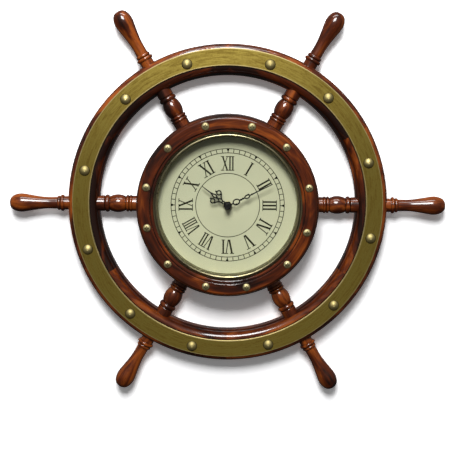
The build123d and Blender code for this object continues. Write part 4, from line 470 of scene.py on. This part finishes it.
SOFT_IRON = bare_metal("soft_iron", (0.46, 0.46, 0.47, 1), (0.26, 0.25, 0.25, 1), 0.36, stretch=(1, 1, 0.05))
MAGNET = bare_metal("magnet", (0.17, 0.17, 0.18, 1), (0.08, 0.08, 0.09, 1), 0.45, stretch=(1, 1, 1))
COIL_WIRE = coil_wire()
WINDOW_GLASS = window_glass()

FINISHES = {
    "brass_band": ANTIQUE_BRASS, "band_rivets": RIVET_BRASS, "ring_screws": SCREW_BRASS,
    "bezel": BEZEL_BRASS, "dial_liner": LINER_BRASS_PAINTED_SHADE, "glass": WINDOW_GLASS, "dial": DIAL_CARD,
    "hour_hand": HAND_BLACK, "minute_hand": HAND_BLACK, "hand_cap": HAND_BLACK, "nut": HAND_BLACK,
    "washer": WHEEL_BRASS, "minute_arbor": WHEEL_BRASS, "hanger_plate": ZINC, "hanger_screws": ZINC,
    "movement_case": CASE_BLACK, "movement_cover": CASE_BLACK, "setting_knob": CASE_BLACK,
    "middle_plate": GEAR_WHITE, "motion_wheel": GEAR_WHITE, "hour_wheel": GEAR_WHITE,
    "intermediate_wheel": GEAR_WHITE, "seconds_wheel": GEAR_WHITE, "third_wheel": GEAR_WHITE,
    "centre_wheel": GEAR_WHITE, "coil_bobbin": GEAR_WHITE, "gasket": GASKET_RUBBER, "rotor": MAGNET,
    "stator": SOFT_IRON, "coil_core": SOFT_IRON, "coil_winding": COIL_WIRE, "circuit_board": BOARD_GREEN,
    "chip": CHIP_BLACK, "quartz_crystal": ZINC, "battery": BATTERY_SLEEVE,
    "contact_plus": ZINC, "contact_minus": ZINC,
}


def dress(name, material):
    """Puts one finish on a CAD node."""
    mesh = nodes[name].data
    mesh.materials.clear()
    mesh.materials.append(material)


for name, material in FINISHES.items():
    dress(name, material)

# Tones of the wood, counter-clockwise from the right. The low tones of felloes 2, 3 and 4 are painted shade
# on the rim's upper inner moulding
FELLOE_TONES_AND_SHADE = (-0.03, -0.09, -0.12, -0.10, -0.02, 0.01)
SPOKE_TONES = (-0.02, -0.035, -0.10, -0.06, 0.005, 0.06)
HANDLE_TONES = (0.055, 0.03, 0.03, 0.06, 0.08, 0.025)
RIM_TONE = 0.02
HUB_TONE = -0.03
RING_TONE = -0.045

# Places in the log. Of six like pieces, each lies one step further along the grain
FELLOE_CUT = (0.37, 0.11, 0.05)
SPOKE_CUT = (0.29, 0.4, 0.7)
HANDLE_CUT = (0.53, 0.9, 0.2)
HUB_CUT = (0.3, 0.2, 0.6)
RING_CUT = (0, 0, 0.4)
RING_GRAIN_RADIUS = 114 * MM


def dress_round(kind, number, turn, cut, tones, rim_tone=None):
    """Wood for one of six like pieces of the wheel."""
    step, across, deep = cut
    wood = mahogany(f"{kind}_wood_{number}", turn, (step * number, across, deep), tones[number - 1], rim_tone)
    dress(f"{kind}_{number}", wood)


# A felloe's grain runs along its chord, a spoke's and a handle's along its axis
for number in range(1, SPOKE_COUNT + 1):
    angle = radians((number - 1) * SPOKE_PITCH)
    along_spoke = (0, angle, 0)
    along_rim = (0, angle + pi / 2, 0)
    dress_round("felloe", number, along_rim, FELLOE_CUT, FELLOE_TONES_AND_SHADE, RIM_TONE)
    dress_round("spoke", number, along_spoke, SPOKE_CUT, SPOKE_TONES)
    dress_round("handle", number, along_spoke, HANDLE_CUT, HANDLE_TONES)
upright = (0, pi / 2, 0)
dress("hub_body", mahogany("hub_body_wood", upright, HUB_CUT, HUB_TONE))
unturned = (0, 0, 0)
ring_wood = mahogany("front_ring_wood", unturned, RING_CUT, RING_TONE, ring_radius=RING_GRAIN_RADIUS)
dress("front_ring", ring_wood)

# Printed dial. The print lies just proud of the card
CARD_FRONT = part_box("dial")[0].y
PRINT_LIFT = 0.05 * MM
PRINT_PLANE = CARD_FRONT - PRINT_LIFT
TRACK_SIZES = {
    "Outer radius": 78.7 * MM,
    "Inner radius": 72.9 * MM,
    "Chapter radius": 44.5 * MM,
    "Circle line": 1.0 * MM,
    "Tick line": 1.0 * MM,
    "Wedge length": 5.0 * MM,
    "Wedge width": 4.2 * MM,
}
TICK_COUNT = 60
WEDGE_COUNT = 12
CIRCLE_STEPS = 240
ROMAN = ("I", "II", "III", "IV", "V", "VI", "VII", "VIII", "IX", "X", "XI", "XII")
NUMERAL_TOP_RADIUS = 68.3 * MM
NUMERAL_HEIGHT = 20.0 * MM
NUMERAL_FOOT_RADIUS = NUMERAL_TOP_RADIUS - NUMERAL_HEIGHT
THICK_STROKE = 2.35 * MM
THICK_SLANT = THICK_STROKE * 1.15
THIN_STROKE = 1.4 * MM
SERIF_LINE = 1.1 * MM
SERIF_REACH = 1.5 * MM
STEM_ADVANCE = 5.0 * MM
V_WIDTH = 11.8 * MM
X_WIDTH = 11.4 * MM
LETTER_GAP = 0.3 * MM
WIDE_NUMERAL = 16.0 * MM
WIDE_NUMERAL_SHARE = 0.26


def number_input(group, name, value):
    """Adds a named number to a tree's inputs and returns its identifier."""
    socket = group.interface.new_socket(name, in_out="INPUT", socket_type="NodeSocketFloat")
    socket.default_value = value
    return socket.identifier


def minute_track_tree():
    """Geometry tree of the dial's circles, minute ticks and five-minute wedges, lying in the XY plane."""
    group = bpy.data.node_groups.new("minute_track", "GeometryNodeTree")
    group.interface.new_socket("Print", in_out="OUTPUT", socket_type="NodeSocketGeometry")
    identifiers = {name: number_input(group, name, size) for name, size in TRACK_SIZES.items()}
    ink = group.interface.new_socket("Ink", in_out="INPUT", socket_type="NodeSocketMaterial")
    identifiers["Ink"] = ink.identifier
    sizes = put(group, "NodeGroupInput").outputs

    def line_end(half, side):
        """One end of the line that is drawn round a circle."""
        return put(group, "ShaderNodeCombineXYZ", (("X", sums(group, "MULTIPLY", half, side)),)).outputs[0]

    def circle(radius):
        """Flat ring of the circle line's width."""
        path = put(group, "GeometryNodeCurvePrimitiveCircle", (
            ("Resolution", CIRCLE_STEPS), ("Radius", radius)))
        half = sums(group, "MULTIPLY", sizes["Circle line"], 0.5)
        profile = put(group, "GeometryNodeCurvePrimitiveLine", (
            ("Start", line_end(half, -1)), ("End", line_end(half, 1))))
        ring = put(group, "GeometryNodeCurveToMesh", (
            ("Curve", path.outputs["Curve"]), ("Profile Curve", profile.outputs["Curve"])))
        return ring.outputs["Mesh"]

    def round_dial(mark, count, radius):
        """The mark repeated round the dial, its local X pointing outwards."""
        points = put(group, "GeometryNodeMeshCircle", (("Vertices", count), ("Radius", radius)))
        index = put(group, "GeometryNodeInputIndex").outputs[0]
        turn = put(group, "ShaderNodeCombineXYZ", (("Z", sums(group, "MULTIPLY", index, 2 * pi / count)),))
        spread = put(group, "GeometryNodeInstanceOnPoints", (
            ("Points", points.outputs["Mesh"]), ("Instance", mark), ("Rotation", turn.outputs[0])))
        return spread.outputs["Instances"]

    reach = sums(group, "SUBTRACT", sizes["Outer radius"], sizes["Inner radius"])
    middle = sums(group, "MULTIPLY", sums(group, "ADD", sizes["Outer radius"], sizes["Inner radius"]), 0.5)
    tick = put(group, "GeometryNodeMeshGrid", (
        ("Size X", reach), ("Size Y", sizes["Tick line"]), ("Vertices X", 2), ("Vertices Y", 2)))
    # A triangle in a circle of radius 1 is 3/2 long and the root of 3 wide
    wedge = put(group, "GeometryNodeMeshCircle", (("Vertices", 3), ("Radius", 1.0)), fill_type="NGON")
    shape = put(group, "ShaderNodeCombineXYZ", (
        ("X", sums(group, "MULTIPLY", sizes["Wedge length"], -2 / 3)),
        ("Y", sums(group, "MULTIPLY", sizes["Wedge width"], 1 / 3 ** 0.5)), ("Z", 1.0)))
    pointed = put(group, "GeometryNodeTransform", (
        ("Geometry", wedge.outputs["Mesh"]), ("Scale", shape.outputs[0])))
    wedge_circle = sums(group, "MULTIPLY_ADD", sizes["Wedge length"], -1 / 3, sizes["Outer radius"])
    parts = [circle(sizes[name]) for name in ("Outer radius", "Inner radius", "Chapter radius")]
    parts.append(round_dial(tick.outputs["Mesh"], TICK_COUNT, middle))
    parts.append(round_dial(pointed.outputs["Geometry"], WEDGE_COUNT, wedge_circle))
    joined = put(group, "GeometryNodeJoinGeometry")
    for part in parts:
        group.links.new(part, joined.inputs[0])
    real = put(group, "GeometryNodeRealizeInstances", (("Geometry", joined.outputs[0]),))
    inked = put(group, "GeometryNodeSetMaterial", (
        ("Geometry", real.outputs[0]), ("Material", sizes["Ink"])))
    put(group, "NodeGroupOutput", (("Print", inked.outputs[0]),))
    return group, identifiers


def grown(name, tree, identifiers, values):
    """Plain mesh that a geometry tree makes with these values."""
    carrier = bpy.data.objects.new(name + "_carrier", bpy.data.meshes.new(name + "_carrier"))
    bpy.context.scene.collection.objects.link(carrier)
    modifier = carrier.modifiers.new("tree", "NODES")
    modifier.node_group = tree
    for label, value in values.items():
        modifier[identifiers[label]] = value
    bpy.context.view_layer.update()
    evaluated = carrier.evaluated_get(bpy.context.evaluated_depsgraph_get())
    mesh = bpy.data.meshes.new_from_object(evaluated)
    bpy.data.objects.remove(carrier)
    mesh.name = name
    return mesh


def on_card(mesh):
    """Brings a print made in the XY plane onto the dial, facing the room."""
    for polygon in mesh.polygons:
        if polygon.normal.z < 0:
            polygon.flip()
    mesh.transform(Matrix.Translation((0, PRINT_PLANE, 0)) @ Matrix.Rotation(pi / 2, 4, "X"))
    return mesh


def piece(name, mesh, body):
    """Adds a mesh to the clock as a piece that moves with a body."""
    made = bpy.data.objects.new(name, mesh)
    bpy.context.scene.collection.objects.link(made)
    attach(made, body)


def bar(start, end, width):
    """Slanted stroke whose ends are level."""
    half = Vector((width / 2, 0))
    return [start - half, start + half, end + half, end - half]


def level_line(left, right, height):
    """Serif along the top or bottom edge of a letter."""
    low = (Vector((left, height)), Vector((right, height)))
    high = (Vector((right, height + SERIF_LINE)), Vector((left, height + SERIF_LINE)))
    return [*low, *high]


def letter_strokes(letter, left):
    """Stroke outlines of one Roman letter that stands on zero, and its advance."""
    top = NUMERAL_HEIGHT
    foot_serif = 0.0
    head_serif = top - SERIF_LINE
    if letter == "I":
        centre = left + STEM_ADVANCE / 2
        strokes = [bar(Vector((centre, 0)), Vector((centre, top)), THICK_STROKE)]
        strokes += [level_line(left, left + STEM_ADVANCE, edge) for edge in (foot_serif, head_serif)]
        return strokes, STEM_ADVANCE
    if letter == "V":
        width = V_WIDTH
        point = Vector((left + width / 2, 0))
        thin_point = point + Vector((THIN_STROKE, 0))
        ends = (Vector((left + SERIF_REACH, top)), Vector((left + width - SERIF_REACH, top)))
        strokes = [bar(point, ends[0], THICK_SLANT), bar(thin_point, ends[1], THIN_STROKE)]
        serif_ends = [(end.x, head_serif) for end in ends]
    else:
        width = X_WIDTH
        low = left + SERIF_REACH
        high = left + width - SERIF_REACH
        strokes = [
            bar(Vector((high, 0)), Vector((low, top)), THICK_SLANT),
            bar(Vector((low, 0)), Vector((high, top)), THIN_STROKE),
        ]
        serif_ends = [(end, edge) for end in (low, high) for edge in (foot_serif, head_serif)]
    for end, edge in serif_ends:
        strokes.append(level_line(end - SERIF_REACH - THIN_STROKE, end + SERIF_REACH + THIN_STROKE, edge))
    return strokes, width


def numeral_strokes(word):
    """Stroke outlines of one numeral, centred across, standing on zero. Wide numerals are set narrower."""
    strokes = []
    pen = 0.0
    before = ""
    for letter in word:
        if before and (letter != "I" or before != "I"):
            pen += LETTER_GAP
        made, advance = letter_strokes(letter, pen)
        strokes += made
        pen += advance
        before = letter
    width = min(pen, WIDE_NUMERAL + max(0, pen - WIDE_NUMERAL) * WIDE_NUMERAL_SHARE)
    return [
        [Vector(((point.x - pen / 2) * width / pen, point.y)) for point in stroke]
        for stroke in strokes
    ]


def numerals_mesh(words):
    """The twelve numerals round the dial, feet towards the centre."""
    points = []
    faces = []
    for hour, word in enumerate(words, start=1):
        turn = Matrix.Rotation(-2 * pi * hour / len(words), 2)
        for stroke in numeral_strokes(word):
            faces.append(list(range(len(points), len(points) + len(stroke))))
            for point in stroke:
                spot = turn @ Vector((point.x, point.y + NUMERAL_FOOT_RADIUS))
                points.append((spot.x, spot.y, 0.0))
    mesh = bpy.data.meshes.new("numerals")
    mesh.from_pydata(points, [], faces)
    mesh.materials.append(INK)
    return mesh


track_tree, track_inputs = minute_track_tree()
track = grown("minute_track", track_tree, track_inputs, {**TRACK_SIZES, "Ink": INK})
piece("minute_track", on_card(track), "clock")
piece("numerals", on_card(numerals_mesh(ROMAN)), "clock")


# Wall behind the clock, light and camera

WALL_PAINT = (0.66, 0.66, 0.665, 1)
WALL_GLOW = 0.12
WALL_REACH = 6.0
WALL_GAP = 0.5 * MM
ROOM_LIGHT = ((0.0, 0.02), (0.45, 0.07), (0.60, 0.13), (1.0, 0.18))
HUB_MIDDLE = Vector((0, 0, 0))


def white_wall():
    """Pale wall that keeps the clock's shadow and is open from behind."""
    material = bpy.data.materials.new("white_wall")
    material.use_nodes = True
    tree = material.node_tree
    tree.nodes.clear()
    paint = put(tree, "ShaderNodeBsdfDiffuse", (("Color", WALL_PAINT),)).outputs[0]
    glow = put(tree, "ShaderNodeEmission", (("Strength", WALL_GLOW),)).outputs[0]
    doubled = put(tree, "ShaderNodeAddShader", ((0, paint), (1, paint))).outputs[0]
    lifted = put(tree, "ShaderNodeAddShader", ((0, doubled), (1, glow))).outputs[0]
    path = put(tree, "ShaderNodeLightPath").outputs
    shown = sums(tree, "MAXIMUM", path["Is Camera Ray"], path["Is Glossy Ray"])
    shown = sums(tree, "MAXIMUM", shown, path["Is Transmission Ray"])
    front_face = put(tree, "ShaderNodeMixShader", ((0, shown), (1, paint), (2, lifted))).outputs[0]
    away = put(tree, "ShaderNodeNewGeometry").outputs["Backfacing"]
    clear = put(tree, "ShaderNodeBsdfTransparent").outputs[0]
    open_back = put(tree, "ShaderNodeMixShader", ((0, away), (1, front_face), (2, clear))).outputs[0]
    end = put(tree, "ShaderNodeOutputMaterial")
    tree.links.new(open_back, end.inputs["Surface"])
    return material


corners = [(-WALL_REACH, WALL_GAP, -WALL_REACH), (WALL_REACH, WALL_GAP, -WALL_REACH),
           (WALL_REACH, WALL_GAP, WALL_REACH), (-WALL_REACH, WALL_GAP, WALL_REACH)]
wall_mesh = bpy.data.meshes.new("wall")
wall_mesh.from_pydata(corners, [], [(0, 1, 2, 3)])
wall_mesh.materials.append(white_wall())
wall = bpy.data.objects.new("wall", wall_mesh)
bpy.context.scene.collection.objects.link(wall)
wall.visible_diffuse = False
wall.visible_glossy = False
wall.visible_shadow = False


def softbox(name, place, width, height, watts):
    """Rectangular lamp turned towards the middle of the hub."""
    lamp = bpy.data.lights.new(name, "AREA")
    lamp.shape = "RECTANGLE"
    lamp.size = width
    lamp.size_y = height
    lamp.energy = watts
    holder = bpy.data.objects.new(name, lamp)
    bpy.context.scene.collection.objects.link(holder)
    holder.location = place
    holder.rotation_euler = (HUB_MIDDLE - Vector(place)).to_track_quat("-Z", "Y").to_euler()
    return holder


softbox("key", (-0.14, -1.77, 1.42), width=0.85, height=0.85, watts=62)
softbox("overhead", (0, -0.60, 1.95), width=1.4, height=0.30, watts=16)
behind = softbox("behind", (0.25, 2.1, 0.6), width=1.4, height=1.4, watts=45)
behind.visible_glossy = False


def studio_world():
    """Even room light, brighter from above than from below."""
    world = bpy.data.worlds.new("studio")
    world.use_nodes = True
    tree = world.node_tree
    way = put(tree, "ShaderNodeTexCoord").outputs["Generated"]
    up = put(tree, "ShaderNodeSeparateXYZ", (("Vector", way),)).outputs["Z"]
    light = ramp(tree, sums(tree, "MULTIPLY_ADD", up, 0.5, 0.5), *ROOM_LIGHT)
    tree.links.new(light, tree.nodes["Background"].inputs["Color"])
    return world


bpy.context.scene.world = studio_world()

lens = bpy.data.cameras.new("camera")
lens.sensor_width = SENSOR_WIDTH
lens.lens = FOCAL_PIXELS * SENSOR_WIDTH / max(PHOTO_WIDTH, PHOTO_HEIGHT)
camera = bpy.data.objects.new("camera", lens)
bpy.context.scene.collection.objects.link(camera)
camera.matrix_world = (
    Matrix.Translation(CAMERA_PLACE)
    @ Matrix.Rotation(-radians(CAMERA_YAW), 4, "Z")
    @ Matrix.Rotation(pi / 2 + radians(CAMERA_PITCH), 4, "X")
    @ Matrix.Rotation(radians(CAMERA_ROLL), 4, "Z")
)
bpy.context.scene.camera = camera
bpy.context.scene.view_settings.view_transform = "Standard"
